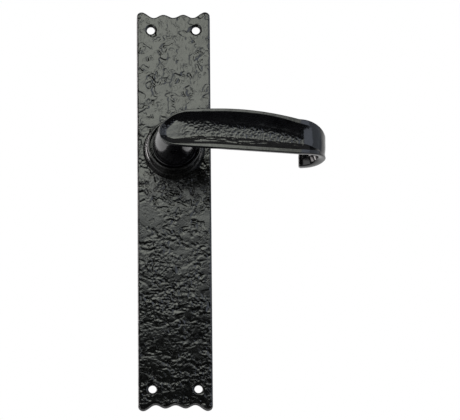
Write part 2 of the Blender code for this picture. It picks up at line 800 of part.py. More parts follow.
def build_circlip():
    """An external circlip: an open ring with an eye at each end."""
    gap = math.radians(14)
    inner, outer, eye = GROOVE_RADIUS + GAP, 9.6 * MM, 11.6 * MM
    ear = math.radians(16)
    loop = arc(eye, gap, gap + ear, 3)
    loop += arc(outer, gap + ear + 0.04, 2 * math.pi - gap - ear - 0.04, 31)
    loop += arc(eye, 2 * math.pi - gap - ear, 2 * math.pi - gap, 3)
    loop += arc(inner, 2 * math.pi - gap, gap, 31)
    loops = [loop]
    for angle in (gap + ear / 2, -gap - ear / 2):
        centre = (10 * MM * math.cos(angle), 10 * MM * math.sin(angle))
        loops.append(arc(0.6 * MM, 0, 2 * math.pi, 9, centre)[:-1])
    clip = flat_piece("circlip", loops, (2.25 * MM, 2.85 * MM), LEVER_PIVOT, SPRING_STEEL)
    clip.rotation_euler = (0, 0, -math.pi / 2)
    return clip


def spring_points():
    """The wire's middle: radial leg, coil, and an axial leg through the driver's lug."""
    turn = -(FIXED_LEG_ANGLE - LUG_ANGLE) - 2 * math.pi * COIL_WHOLE_TURNS
    count = 2 + int(abs(turn) / math.radians(20))
    angles = np.linspace(FIXED_LEG_ANGLE, FIXED_LEG_ANGLE + turn, count)
    outs = np.linspace(COIL_FRONT, COIL_BACK, count)
    coil = [
        (COIL_RADIUS * math.cos(angle), COIL_RADIUS * math.sin(angle), out)
        for angle, out in zip(angles, outs)
    ]
    fixed = [
        (radius * math.cos(FIXED_LEG_ANGLE), radius * math.sin(FIXED_LEG_ANGLE), COIL_FRONT)
        for radius in (FIXED_LEG_REACH, COIL_RADIUS + 1.3 * MM)
    ]
    x, up = COIL_RADIUS * math.cos(LUG_ANGLE), COIL_RADIUS * math.sin(LUG_ANGLE)
    moving = [(x, up, COIL_BACK - 1.4 * MM), (x, up, MOVING_LEG_TIP)]
    last = angles[-2]
    coil[-1] = (
        COIL_RADIUS * math.cos(last - math.radians(16)),
        COIL_RADIUS * math.sin(last - math.radians(16)),
        COIL_BACK,
    )
    return fixed + coil[1:] + moving


def build_return_spring():
    curve = bpy.data.curves.new("return_spring", "CURVE")
    curve.dimensions = "3D"
    curve.bevel_depth = WIRE_DIAMETER / 2
    curve.bevel_resolution = 2
    curve.use_fill_caps = True
    points = spring_points()
    spline = curve.splines.new("POLY")
    spline.points.add(len(points) - 1)
    for point, place_at in zip(spline.points, points):
        point.co = (*place_at, 1)
    return place(bpy.data.objects.new("return_spring", curve), DOOR_FACE, SPRING_STEEL)


# ---------------------------------------------------------------- assembly

backplate = build_backplate()
lever = build_lever()
build_spindle()
build_grub_screw()
build_thrust_washer()
build_neck_bush()
build_spring_driver()
build_circlip()
build_return_spring()
build_cover()
for screw_number, (screw_x, screw_up) in enumerate(cover_screw_places(), 1):
    build_cover_screw(screw_number, screw_x, screw_up)

for part in PARTS.objects:
    if part.type == "MESH":
        shade(part)
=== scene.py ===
import math
from itertools import product

import bmesh
import bpy
import numpy as np
from mathutils import Matrix, Vector
from mathutils.geometry import delaunay_2d_cdt


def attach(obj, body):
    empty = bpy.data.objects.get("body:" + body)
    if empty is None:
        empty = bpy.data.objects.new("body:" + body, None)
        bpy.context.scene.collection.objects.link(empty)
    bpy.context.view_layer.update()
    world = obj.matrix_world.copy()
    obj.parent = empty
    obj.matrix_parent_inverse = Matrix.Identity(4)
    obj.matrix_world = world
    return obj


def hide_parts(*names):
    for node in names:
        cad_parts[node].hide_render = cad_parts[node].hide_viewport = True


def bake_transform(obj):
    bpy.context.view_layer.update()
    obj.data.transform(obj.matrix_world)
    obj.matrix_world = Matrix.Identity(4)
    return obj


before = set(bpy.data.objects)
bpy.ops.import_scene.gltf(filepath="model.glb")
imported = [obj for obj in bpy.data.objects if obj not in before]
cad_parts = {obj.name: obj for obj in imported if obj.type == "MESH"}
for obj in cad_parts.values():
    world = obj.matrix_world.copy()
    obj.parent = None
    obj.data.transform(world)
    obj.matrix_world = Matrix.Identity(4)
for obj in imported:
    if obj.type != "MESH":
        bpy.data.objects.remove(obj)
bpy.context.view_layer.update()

# A black antique lever handle on a long backplate. The castings are modelled again here at a
# finer scale than in the frame, with the rough skin of the real ones. Shapes are drawn in the
# bench frame of the frame's own parts: X to the lever's side, Y up the door, Z out from the
# door. UPRIGHT turns that frame so that the handle's front faces -Y and +Z is up.

MM = 0.001
UPRIGHT = Matrix.Rotation(math.pi / 2, 4, "X")
SCENE = bpy.context.scene

ROUND_STEPS = 160
SMALL_ROUND_STEPS = 64
OVERRUN = 2 * MM
GAP = 0.3 * MM

# ---------------- noise and helpers

GRADIENTS = np.random.RandomState(7).normal(size=(256, 3))
GRADIENTS /= np.linalg.norm(GRADIENTS, axis=1)[:, None]
HASH_FACTORS = np.array([73856093, 19349663, 83492791])


def noise(points, size, seed):
    """Smooth noise from about -1 to 1 at each point, with lumps about size across."""
    scaled = np.asarray(points) / size + seed * 17.31
    cell = np.floor(scaled).astype(np.int64)
    inside = scaled - cell
    faded = inside**3 * (inside * (inside * 6 - 15) + 10)
    total = np.zeros(len(scaled))
    for corner in product((0, 1), repeat=3):
        hashed = ((cell + corner) * HASH_FACTORS).sum(axis=1) + seed * 1013
        hashed = (hashed ^ (hashed >> 13)) * 1274126177
        gradient = GRADIENTS[(hashed ^ (hashed >> 16)) & 255]
        weight = np.prod(np.where(corner, faded, 1 - faded), axis=1)
        total += weight * ((inside - corner) * gradient).sum(axis=1)
    return total * 1.7


def ease(value, low, high):
    """0 up to low, 1 from high on, and a smooth rise between."""
    share = np.clip((value - low) / (high - low), 0, 1)
    return share * share * (3 - 2 * share)


def bent(points, size, seed, amount):
    """The points, each moved about by noise, so that what is drawn at them looks bent."""
    shift = [noise(points, size, seed + axis) for axis in range(3)]
    return points + amount * np.stack(shift, axis=1)


def linked(name, data):
    obj = bpy.data.objects.new(name, data)
    SCENE.collection.objects.link(obj)
    return obj


def from_bmesh(name, made):
    mesh = bpy.data.meshes.new(name)
    made.to_mesh(mesh)
    made.free()
    return linked(name, mesh)


def new_object(name, points, faces):
    """A piece from its points and faces, with the faces turned to point outwards."""
    mesh = bpy.data.meshes.new(name)
    mesh.from_pydata([tuple(point) for point in points], [], faces)
    made = bmesh.new()
    made.from_mesh(mesh)
    bmesh.ops.recalc_face_normals(made, faces=made.faces)
    made.to_mesh(mesh)
    made.free()
    return linked(name, mesh)


def evaluated(obj):
    """The mesh that a curve, or a mesh with its modifiers, comes to."""
    graph = bpy.context.evaluated_depsgraph_get()
    return bpy.data.meshes.new_from_object(obj.evaluated_get(graph))


def apply_modifiers(obj):
    mesh = evaluated(obj)
    obj.modifiers.clear()
    obj.data = mesh


def joined(solids):
    """One object that holds several closed solids, which don't touch each other."""
    made = bmesh.new()
    for solid in solids:
        made.from_mesh(solid.data)
        bpy.data.objects.remove(solid)
    return from_bmesh("solids", made)


def combine(obj, changes):
    """Adds or cuts away solids, given as (operation, [solids]), and removes them after."""
    tools = []
    for operation, solids in changes:
        modifier = obj.modifiers.new(operation.lower(), "BOOLEAN")
        modifier.operation = operation
        modifier.solver = "MANIFOLD"
        modifier.object = joined(solids)
        tools.append(modifier.object)
    apply_modifiers(obj)
    for tool in tools:
        bpy.data.objects.remove(tool)


def polar(radius, angle, centre=(0, 0)):
    return centre[0] + radius * math.cos(angle), centre[1] + radius * math.sin(angle)


def bands(rings):
    """Faces between each ring of point numbers and the next. A corner that repeats is left out."""
    faces = []
    for first, second in zip(rings, rings[1:]):
        for corners in zip(first, first[1:] + first[:1], second[1:] + second[:1], second):
            faces.append(list(dict.fromkeys(corners)))
    return faces


def stepped(*steps):
    """A stepped solid's profile, from the (radius, front, back) of each of its steps."""
    points = [(0, steps[0][1])]
    for radius, front, back in steps:
        points += [(radius, front), (radius, back)]
    return points + [(0, steps[-1][2])]


def turned(name, profile, steps=ROUND_STEPS, centre=(0, 0), closed=False, wobble=None):
    """A profile of (radius, out) turned about the out direction at centre."""
    angles = np.arange(steps) * 2 * math.pi / steps
    points = []
    rings = []
    for radius, out in profile:
        first = len(points)
        if radius < 1e-9:
            points.append((*centre, out))
            rings.append([first] * steps)
        else:
            points += [(*polar(radius, angle, centre), out) for angle in angles]
            rings.append(list(range(first, first + steps)))
    if wobble:
        points = wobble(np.array(points))
    return new_object(name, points, bands(rings + rings[:1] if closed else rings))


def block(name, low, high):
    made = bmesh.new()
    bmesh.ops.create_cube(made, size=1)
    size = [high[axis] - low[axis] for axis in range(3)]
    middle = [(high[axis] + low[axis]) / 2 for axis in range(3)]
    bmesh.ops.scale(made, verts=made.verts, vec=size)
    bmesh.ops.translate(made, verts=made.verts, vec=middle)
    return from_bmesh(name, made)


def flat_piece(name, loops, span):
    """A flat piece from closed outlines in the door's plane, the first the outside."""
    curve = bpy.data.curves.new(name, "CURVE")
    curve.dimensions = "2D"
    curve.fill_mode = "BOTH"
    curve.extrude = (span[1] - span[0]) / 2
    for loop in loops:
        spline = curve.splines.new("POLY")
        spline.points.add(len(loop) - 1)
        for point, (x, up) in zip(spline.points, loop):
            point.co = (x, up, 0, 1)
        spline.use_cyclic_u = True
    guide = linked(name + "_outline", curve)
    mesh = evaluated(guide)
    bpy.data.objects.remove(guide)
    made = bmesh.new()
    made.from_mesh(mesh)
    bmesh.ops.remove_doubles(made, verts=made.verts, dist=0.001 * MM)
    bmesh.ops.translate(made, verts=made.verts, vec=(0, 0, sum(span) / 2))
    bmesh.ops.recalc_face_normals(made, faces=made.faces)
    return from_bmesh(name, made)


def arc(radius, start, end, count, centre=(0, 0)):
    return [polar(radius, angle, centre) for angle in np.linspace(start, end, count)]


def rounded_rectangle(width, height, corner, middle=(0, 0)):
    points = []
    for quarter, (side, end) in enumerate([(1, 1), (-1, 1), (-1, -1), (1, -1)]):
        centre = (middle[0] + side * (width / 2 - corner), middle[1] + end * (height / 2 - corner))
        start = quarter * math.pi / 2
        points += arc(corner, start, start + math.pi / 2, 12, centre)
    return points


def soften(obj, width, segments=2):
    """Rounds a piece's sharp edges a little, as handling and plating do."""
    bevel = obj.modifiers.new("worn_edges", "BEVEL")
    bevel.width = width
    bevel.segments = segments
    bevel.limit_method = "ANGLE"
    bevel.angle_limit = math.radians(35)
    apply_modifiers(obj)


def finish_piece(obj, paint, body, node, sharp=35):
    """Stands a piece upright, shades and paints it, and lets it stand for its CAD node."""
    obj.data.transform(UPRIGHT)
    obj.data.materials.clear()
    obj.data.materials.append(paint)
    obj.data.shade_smooth()
    obj.data.set_sharp_from_angle(angle=math.radians(sharp))
    if body:
        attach(obj, body)
    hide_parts(node)


# ---------------- materials


def nodes_of(name):
    made = bpy.data.materials.new(name)
    made.use_nodes = True
    tree = made.node_tree
    return made, tree, tree.nodes["Principled BSDF"]


def texture(tree, size, detail=2.0, stretch=(1, 1, 1), kind="Noise", output="Fac", **settings):
    """A texture's value in the piece's own coordinates, with lumps about size across."""
    place = tree.nodes.new("ShaderNodeTexCoord")
    scale = tree.nodes.new("ShaderNodeMapping")
    scale.inputs["Scale"].default_value = [factor / size for factor in stretch]
    made = tree.nodes.new("ShaderNodeTex" + kind)
    for key, value in {"Scale": 1, "Detail": detail, **settings}.items():
        made.inputs[key].default_value = value
    tree.links.new(place.outputs["Object"], scale.inputs["Vector"])
    tree.links.new(scale.outputs["Vector"], made.inputs["Vector"])
    return made.outputs[output]


def spread(tree, source, low, high, start=0.3, end=0.7):
    """A value that goes from low to high while the source goes from start to end."""
    ranged = tree.nodes.new("ShaderNodeMapRange")
    for key, value in zip(("From Min", "From Max", "To Min", "To Max"), (start, end, low, high)):
        ranged.inputs[key].default_value = value
    tree.links.new(source, ranged.inputs["Value"])
    return ranged.outputs["Result"]


def tint(tree, source, first, second, socket, start=0.3, end=0.7):
    """Mixes two colours by a texture's value."""
    ramp = tree.nodes.new("ShaderNodeValToRGB")
    for stop, place, colour in zip(ramp.color_ramp.elements, (start, end), (first, second)):
        stop.position = place
        stop.color = (*colour, 1)
    tree.links.new(source, ramp.inputs["Fac"])
    tree.links.new(ramp.outputs["Color"], socket)


def relief(tree, shader, layers):
    """Stacks bump layers, given as (texture output, depth in metres), on the shader's normal."""
    last = None
    for source, depth in layers:
        bump = tree.nodes.new("ShaderNodeBump")
        bump.inputs["Distance"].default_value = depth
        tree.links.new(source, bump.inputs["Height"])
        if last:
            tree.links.new(last.outputs["Normal"], bump.inputs["Normal"])
        last = bump
    tree.links.new(last.outputs["Normal"], shader.inputs["Normal"])


def coordinate(tree, system, axis):
    """One axis of a coordinate system, such as Object."""
    place = tree.nodes.new("ShaderNodeTexCoord")
    parts = tree.nodes.new("ShaderNodeSeparateXYZ")
    tree.links.new(place.outputs[system], parts.inputs["Vector"])
    return parts.outputs[axis]


def calculated(tree, operation, *values):
    """A Math node on sockets or numbers."""
    made = tree.nodes.new("ShaderNodeMath")
    made.operation = operation
    for socket, value in zip(made.inputs, values):
        if isinstance(value, (int, float)):
            socket.default_value = value
        else:
            tree.links.new(value, socket)
    return made.outputs[0]


def wrinkles(tree, size, width, gather):
    """Height of a skin with fine curved cracks, gathered in patches: 1 flat, 0 in a crack."""
    lines = texture(tree, size, 1.5, Distortion=0.9)
    away = calculated(tree, "ABSOLUTE", calculated(tree, "SUBTRACT", lines, 0.5))
    crack = calculated(tree, "DIVIDE", away, width)
    patch = texture(tree, 5 * MM, 2)
    flat = calculated(tree, "MULTIPLY", calculated(tree, "SUBTRACT", gather, patch), 12)
    return calculated(tree, "MINIMUM", calculated(tree, "MAXIMUM", crack, flat), 1)


MATT_FADE = 0.8 * MM


def black_paint(name, dark, light, roughness, grain, fine, cracked=0, matt_behind=None):
    """Black lacquer over cast iron: colour, gloss and an orange-peel surface all vary a little.

    Behind the depth matt_behind, where the paint is thin, it is matt.
    """
    made, tree, shader = nodes_of(name)
    tint(tree, texture(tree, 9 * MM, 4), dark, light, shader.inputs["Base Color"])
    rough = spread(tree, texture(tree, 2.5 * MM, 3), *roughness)
    if matt_behind is not None:
        depth = coordinate(tree, "Object", "Y")
        thin = spread(tree, depth, 0, 0.5, matt_behind, matt_behind + MATT_FADE)
        rough = calculated(tree, "ADD", rough, thin)
    tree.links.new(rough, shader.inputs["Roughness"])
    shader.inputs["Specular IOR Level"].default_value = 0.5
    layers = [(texture(tree, 1.1 * MM, 3), grain), (texture(tree, 0.35 * MM, 2), fine)]
    if cracked:
        layers.append((wrinkles(tree, 5.5 * MM, 0.08, 0.6), cracked))
        layers.append((wrinkles(tree, 3.0 * MM, 0.11, 0.63), cracked))
    relief(tree, shader, layers)
    return made


def plated_steel(name, dark, light, roughness, stretch=(1, 1, 1)):
    """Plated or drawn steel, with fine marks that may be drawn out along one direction."""
    made, tree, shader = nodes_of(name)
    shader.inputs["Metallic"].default_value = 1
    tint(tree, texture(tree, 5 * MM, 3), dark, light, shader.inputs["Base Color"])
    marks = texture(tree, 0.25 * MM, 3, stretch)
    tree.links.new(spread(tree, marks, *roughness), shader.inputs["Roughness"])
    relief(tree, shader, [(marks, 0.006 * MM)])
    return made


ROUGH_BLACK = black_paint(
    "rough_black_paint",
    (0.0012, 0.0012, 0.0012),
    (0.004, 0.0042, 0.0038),
    roughness=(0.1, 0.21),
    grain=0.05 * MM,
    fine=0.010 * MM,
    cracked=0.06 * MM,
    matt_behind=-4.5 * MM,
)
GLOSS_BLACK = black_paint(
    "gloss_black_paint",
    (0.001, 0.001, 0.0013),
    (0.003, 0.003, 0.0035),
    roughness=(0.1, 0.17),
    grain=0.012 * MM,
    fine=0.003 * MM,
)
ZINC_STEEL = plated_steel(
    "zinc_steel", (0.42, 0.43, 0.45), (0.6, 0.6, 0.62), (0.26, 0.42), stretch=(1, 1, 0.08)
)
SPRING_STEEL = plated_steel("spring_steel", (0.2, 0.2, 0.22), (0.34, 0.34, 0.36), (0.22, 0.36))
BLACK_STEEL = plated_steel("blackened_steel", (0.02, 0.02, 0.022), (0.05, 0.05, 0.053), (0.3, 0.45))


def granular(name, dark, light, roughness, metallic, size, depth):
    """A matt surface of small grains, such as sintered bronze or moulded nylon."""
    made, tree, shader = nodes_of(name)
    shader.inputs["Metallic"].default_value = metallic
    grains = texture(tree, size, kind="Voronoi", output="Distance")
    tint(tree, grains, dark, light, shader.inputs["Base Color"], 0.1, 0.8)
    rough = spread(tree, texture(tree, 3 * MM, 3), *roughness)
    tree.links.new(rough, shader.inputs["Roughness"])
    relief(tree, shader, [(grains, depth)])
    return made


BRONZE = granular(
    "sintered_bronze", (0.5, 0.33, 0.15), (0.3, 0.19, 0.08), (0.4, 0.55), 1, size=0.3 * MM, depth=0.02 * MM
)
NYLON = granular(
    "nylon", (0.78, 0.76, 0.7), (0.68, 0.67, 0.61), (0.42, 0.55), 0, size=0.5 * MM, depth=0.004 * MM
)

# ---------------- backplate

PLATE_WIDTH = 48 * MM
PLATE_TOP = 94.6 * MM
PLATE_BOTTOM = -173.4 * MM
PLATE_DEPTH = 5.5 * MM
PLATE_FRONT_WALL = 2.9 * MM
PLATE_SIDE_WALL = 3.2 * MM
EDGE_ROUND = 1.3 * MM
# Half of one wavy end: distance from the middle, and depth below the corner horn's tip
END_WAVE = [(0, 3.8), (6.5, 1.7), (12.7, 3.9), (20.8, 0)]
HORN_CORNER = 3.2 * MM
# Heights of the rows of points up the plate's side, below its rounded edge
SIDE_ROWS = (0, 1.0 * MM, 2.4 * MM)
SKIN_STEP = 0.45 * MM

HOLE_SPREAD = 29.5 * MM
HOLE_HEIGHTS = (PLATE_TOP - 12.6 * MM, PLATE_BOTTOM + 13.6 * MM)
HOLE_RADIUS = 2.6 * MM
COUNTERSINK_RADIUS = 4.1 * MM
POCKETS = [(36 * MM, 87.8 * MM), (-96 * MM, -36 * MM), (-166.6 * MM, -101 * MM)]

BOSS_RADIUS = 19.4 * MM
BOSS_RIM_RADIUS = 16.5 * MM
BOSS_HEIGHT = 17.4 * MM
COLLAR_RECESS_RADIUS = 15.3 * MM
WEB_FRONT = 14.4 * MM
WEB_BACK = 11.4 * MM
BUSH_HOLE_RADIUS = 10.3 * MM
SPRING_CHAMBER_RADIUS = 15.4 * MM
DRIVER_CHAMBER_RADIUS = 17.0 * MM
DRIVER_CHAMBER_FRONT = 5.6 * MM

COVER_SIZE = (39 * MM, 60 * MM)
COVER_CORNER = 6 * MM
COVER_BACK = 0.15 * MM
COVER_FRONT = 1.35 * MM
COVER_HOLE_RADIUS = 6.6 * MM
COVER_SCREW_PLACES = [(side * 14 * MM, end * 24 * MM) for end in (1, -1) for side in (-1, 1)]
COVER_SCREW_RADIUS = 1.5 * MM
COVER_SCREW_TIP = 4.0 * MM
COVER_SCREW_HEAD = 2.7 * MM

LUG_ANGLE = math.radians(90)
LUG_HALF_WIDTH = math.radians(12)
LEVER_TRAVEL = math.radians(50)
STOP_CLEARANCE = math.radians(1.5)
STOP_WIDTH = math.radians(14)
STOP_INNER_RADIUS = 14.0 * MM
FIXED_LEG_ANGLE = math.radians(200)
FIXED_LEG_REACH = 16.4 * MM


def creases(points, size, seed, width, cover):
    """Curved creases with one lip raised, in patches: 1 at a crease's bottom."""
    field = noise(bent(points, 0.9 * size, seed, 0.3 * size), size, seed + 3)
    patch = ease(noise(points, 1.5 * size, seed + 4), *cover)
    valley = np.exp(-((field / width) ** 2))
    lip = np.tanh(field / (0.8 * width))
    return patch * (0.75 * valley + 0.45 * lip)


def rough_skin(points):
    """How far the cast skin lies below the plate's true surface, at least 0."""
    broad = 0.2 * noise(points, 18 * MM, 1) + 0.1 * noise(points, 9 * MM, 2)
    broad += 0.02 * noise(points, 3.5 * MM, 3)
    lower = ease(-points[:, 1], 40 * MM, 110 * MM)
    calm = 1 - 0.45 * np.exp(-(((points[:, 1] + 128 * MM) / (13 * MM)) ** 2))
    folds = 0.27 * creases(points * (1, 1.15, 1), 5.5 * MM, 10, 0.2, (0.2, 0.36))
    small_folds = 0.2 * creases(points, 3.2 * MM, 20, 0.28, (0.13, 0.34))
    ridges = 0.21 * lower * creases(points * (0.7, 1.2, 1), 5 * MM, 70, 0.3, (0.05, 0.3))
    pebble_patch = ease(noise(points, 11 * MM, 30) + 0.2 * lower, 0.2, 0.4)
    pebbles = noise(points, 1.7 * MM, 31) + 0.7 * noise(points, 1.1 * MM, 32)
    pebbles *= (0.1 + 0.05 * lower) * pebble_patch
    return np.maximum(0, 0.42 + broad + calm * (folds + small_folds + ridges + pebbles)) * MM


def wavy_end(tip, direction):
    """Points of one end from left to right, with horn tips at height tip and the plate below."""
    half = []
    for (x0, depth0), (x1, depth1) in zip(END_WAVE, END_WAVE[1:]):
        for share in np.linspace(0, 1, 19)[:-1]:
            blend = (1 - math.cos(math.pi * share)) / 2
            half.append(((x0 + (x1 - x0) * share) * MM, (depth0 + (depth1 - depth0) * blend) * MM))
    for angle in np.linspace(math.pi / 2, 0, 13):
        x = PLATE_WIDTH / 2 - HORN_CORNER * (1 - math.cos(angle))
        half.append((x, HORN_CORNER * (1 - math.sin(angle))))
    right = [(x, tip - direction * depth) for x, depth in half]
    left = [(-x, up) for x, up in reversed(right[1:])]
    return left + right


def plate_outline():
    """The plate's outline clockwise from the top left, with close points along the sides."""
    top = wavy_end(PLATE_TOP, 1)
    bottom = wavy_end(PLATE_BOTTOM, -1)[::-1]
    count = int((top[-1][1] - bottom[0][1]) / SKIN_STEP)
    right = [(top[-1][0], up) for up in np.linspace(top[-1][1], bottom[0][1], count)[1:-1]]
    left = [(top[0][0], up) for up in np.linspace(bottom[-1][1], top[0][1], count)[1:-1]]
    return np.array(top + right + bottom + left)


def inward_normals(outline):
    """Unit normals of a clockwise outline, pointing inside."""
    along = np.roll(outline, -1, axis=0) - np.roll(outline, 1, axis=0)
    along /= np.linalg.norm(along, axis=1)[:, None]
    return np.stack([along[:, 1], -along[:, 0]], axis=1)


def inside_outline(points, outline):
    """Which points lie inside an outline, counting the edges that each one's ray crosses."""
    start, end = outline, np.roll(outline, -1, axis=0)
    inside = np.zeros(len(points), bool)
    for (x0, up0), (x1, up1) in zip(start, end):
        if up0 == up1:
            continue
        crosses = (points[:, 1] < up0) != (points[:, 1] < up1)
        meets = x0 + (points[:, 1] - up0) * (x1 - x0) / (up1 - up0)
        inside ^= crosses & (points[:, 0] < meets)
    return inside


def skin_grid(outline):
    """Points SKIN_STEP apart over the plate's front, clear of its edge and of the boss's middle."""
    xs = np.arange(-PLATE_WIDTH / 2, PLATE_WIDTH / 2, SKIN_STEP)
    ups = np.arange(PLATE_BOTTOM, PLATE_TOP, SKIN_STEP * 0.9)
    grid = np.stack(np.meshgrid(xs, ups), axis=-1)
    grid[1::2, :, 0] += SKIN_STEP / 2
    grid = grid.reshape(-1, 2)
    keep = np.hypot(*grid.T) > BOSS_RIM_RADIUS
    keep &= np.abs(grid[:, 0]) < outline[:, 0].max() - 0.6 * SKIN_STEP
    grid = grid[keep]
    from_middle = np.abs(grid[:, 1] - (PLATE_TOP + PLATE_BOTTOM) / 2)
    near_end = from_middle > (PLATE_TOP - PLATE_BOTTOM) / 2 - 7 * MM
    shrunk = outline + 0.6 * SKIN_STEP * inward_normals(outline)
    keep = ~near_end
    keep[near_end] = inside_outline(grid[near_end], shrunk)
    return grid[keep]


def raised(flat, out):
    """Points or directions in the door's plane, given one out value."""
    return np.column_stack([flat, np.full(len(flat), out)])


def plate_blank():
    """The plate as a closed slab: a fine rough front and rounded edge, on a flat back."""
    outline = plate_outline()
    inward = inward_normals(outline)
    count = len(outline)
    points = []
    directions = []
    for out in SIDE_ROWS:
        points.append(raised(outline, out))
        directions.append(raised(inward, 0))
    for angle in np.linspace(0, math.pi / 2, 6):
        inset = EDGE_ROUND * (1 - math.cos(angle))
        points.append(raised(outline + inward * inset, PLATE_DEPTH - EDGE_ROUND * (1 - math.sin(angle))))
        directions.append(raised(inward * math.cos(angle), -math.sin(angle)))
    rings = [list(range(row * count, (row + 1) * count)) for row in range(len(points))]
    edge = points[-1][:, :2]
    grid = skin_grid(edge)
    around = [(index, (index + 1) % count) for index in range(count)]
    _, _, triangles, order, _, _ = delaunay_2d_cdt(
        [Vector(point) for point in np.vstack([edge, grid])], around, [], 1, 1e-8
    )
    new_index = [rings[-1][0] + origin[0] for origin in order]
    faces = [[new_index[corner] for corner in triangle] for triangle in triangles]
    faces += bands(rings) + [rings[0]]
    points.append(raised(grid, PLATE_DEPTH))
    directions.append(np.tile((0, 0, -1.0), (len(grid), 1)))
    points, directions = np.vstack(points), np.vstack(directions)
    depth = rough_skin(points)
    depth[:count] = 0
    edge_share = 0.25 + 0.75 * np.abs(directions[:, 2])
    points = points + directions * (depth * edge_share)[:, None]
    return new_object("backplate_casting", points, faces)


def cast_wobble(points):
    """Moves a turned casting's surface in, unevenly, by up to 0.2 mm."""
    lumps = noise(points, 5 * MM, 41) * 0.06 + noise(points, 2 * MM, 42) * 0.05
    radius = np.maximum(np.hypot(points[:, 0], points[:, 1]), 1e-9)
    scale = 1 - (0.08 + lumps) * MM / radius
    moved = points.copy()
    moved[:, :2] *= np.where(radius > BUSH_HOLE_RADIUS, scale, 1)[:, None]
    return moved


def smooth_curve(points, count):
    """A smooth curve through a list of points (Catmull-Rom), count steps to each stretch."""
    points = np.array(points)
    points = np.vstack([2 * points[0] - points[1], points, 2 * points[-1] - points[-2]])
    basis = np.array([(0, 2, 0, 0), (-1, 0, 1, 0), (2, -5, 4, -1), (-1, 3, -3, 1)]) / 2
    curve = []
    for start in range(len(points) - 3):
        for share in np.arange(count) / count:
            curve.append(tuple(share ** np.arange(4) @ basis @ points[start : start + 4]))
    return curve + [tuple(points[-2])]


def boss_blank():
    """The boss: a stepped, slightly flared wall up to a rounded rim."""
    rim = [
        (BOSS_RIM_RADIUS + 0.85 * MM * math.sin(angle), BOSS_HEIGHT - 0.8 * MM * (1 - math.cos(angle)))
        for angle in np.linspace(-math.pi / 2, math.pi / 2, 17)
    ]
    wall = [(17.6, 14.4), (17.9, 11.6), (18.4, 10.2), (18.9, 9.9), (19.1, 8.4), (19.4, 6.6), (20.1, 5.2)]
    wall = [(radius * MM, out * MM) for radius, out in wall]
    profile = [
        (0, 13 * MM),
        (14.6 * MM, 13 * MM),
        (15.2 * MM, BOSS_HEIGHT - 2.2 * MM),
        *rim,
        *smooth_curve(wall, 5),
        (20.4 * MM, 4.6 * MM),
        (BOSS_RADIUS, 3 * MM),
        (0, 3 * MM),
    ]
    return turned("boss_blank", profile, wobble=cast_wobble)


def boss_chambers():
    profile = stepped(
        (COLLAR_RECESS_RADIUS, BOSS_HEIGHT + OVERRUN, WEB_FRONT),
        (BUSH_HOLE_RADIUS, WEB_FRONT, WEB_BACK),
        (SPRING_CHAMBER_RADIUS, WEB_BACK, DRIVER_CHAMBER_FRONT),
        (DRIVER_CHAMBER_RADIUS, DRIVER_CHAMBER_FRONT, -OVERRUN),
    )
    return turned("boss_chambers", profile)


def stop_block(start):
    """A cast stop in the driver chamber, from the angle start, STOP_WIDTH wide."""
    outer = DRIVER_CHAMBER_RADIUS + 0.8 * MM
    loop = arc(outer, start, start + STOP_WIDTH, 9)
    loop += arc(STOP_INNER_RADIUS, start + STOP_WIDTH, start, 9)
    return flat_piece("stop", [loop], (1.9 * MM, DRIVER_CHAMBER_FRONT + 0.6 * MM))


def countersunk_cutter(x, up):
    """A clearance hole whose countersink has a slightly rounded edge."""
    lip = 0.25 * MM
    outer, front = COUNTERSINK_RADIUS + lip, PLATE_DEPTH
    back = front - (COUNTERSINK_RADIUS - HOLE_RADIUS)
    profile = [(0, front + OVERRUN), (outer, front + OVERRUN), (outer, front - 0.1 * MM)]
    profile += [(COUNTERSINK_RADIUS, front - lip), (HOLE_RADIUS + 0.15 * MM, back)]
    profile += [(HOLE_RADIUS, back - 0.2 * MM), (HOLE_RADIUS, -OVERRUN), (0, -OVERRUN)]
    return turned("screw_hole", profile, SMALL_ROUND_STEPS, (x, up))


def build_backplate():
    plate = plate_blank()
    first_stop = LUG_ANGLE + LUG_HALF_WIDTH + STOP_CLEARANCE
    last_stop = LUG_ANGLE - LUG_HALF_WIDTH - LEVER_TRAVEL - STOP_CLEARANCE - STOP_WIDTH
    seat = rounded_rectangle(COVER_SIZE[0] + 2 * GAP, COVER_SIZE[1] + 2 * GAP, COVER_CORNER + GAP)
    slot = block(
        "spring_leg_slot",
        (SPRING_CHAMBER_RADIUS - MM, -1.1 * MM, -OVERRUN),
        (FIXED_LEG_REACH + 0.5 * MM, 1.1 * MM, WEB_BACK),
    )
    slot.data.transform(Matrix.Rotation(FIXED_LEG_ANGLE, 4, "Z"))
    width = PLATE_WIDTH - 2 * PLATE_SIDE_WALL
    hollows = [boss_chambers()]
    for low, high in POCKETS:
        loop = rounded_rectangle(width, high - low, 4 * MM, (0, (low + high) / 2))
        hollows.append(flat_piece("pocket", [loop], (-OVERRUN, PLATE_DEPTH - PLATE_FRONT_WALL)))
    places = product((-HOLE_SPREAD / 2, HOLE_SPREAD / 2), HOLE_HEIGHTS)
    small_cuts = [slot, *(countersunk_cutter(*place) for place in places)]
    for place in COVER_SCREW_PLACES:
        radius, tip = COVER_SCREW_RADIUS + GAP, COVER_SCREW_TIP + GAP
        profile = [(0, tip + radius / 2), (radius, tip), (radius, -OVERRUN), (0, -OVERRUN)]
        small_cuts.append(turned("cover_screw_hole", profile, 32, place))
    changes = [
        ("UNION", [boss_blank()]),
        ("DIFFERENCE", hollows),
        ("UNION", [stop_block(first_stop), stop_block(last_stop)]),
        ("DIFFERENCE", [flat_piece("cover_seat", [seat], (-OVERRUN, COVER_FRONT + GAP))]),
        ("DIFFERENCE", small_cuts),
    ]
    combine(plate, changes)
    finish_piece(plate, ROUGH_BLACK, "plate_body", "backplate", 50)


# ---------------- lever

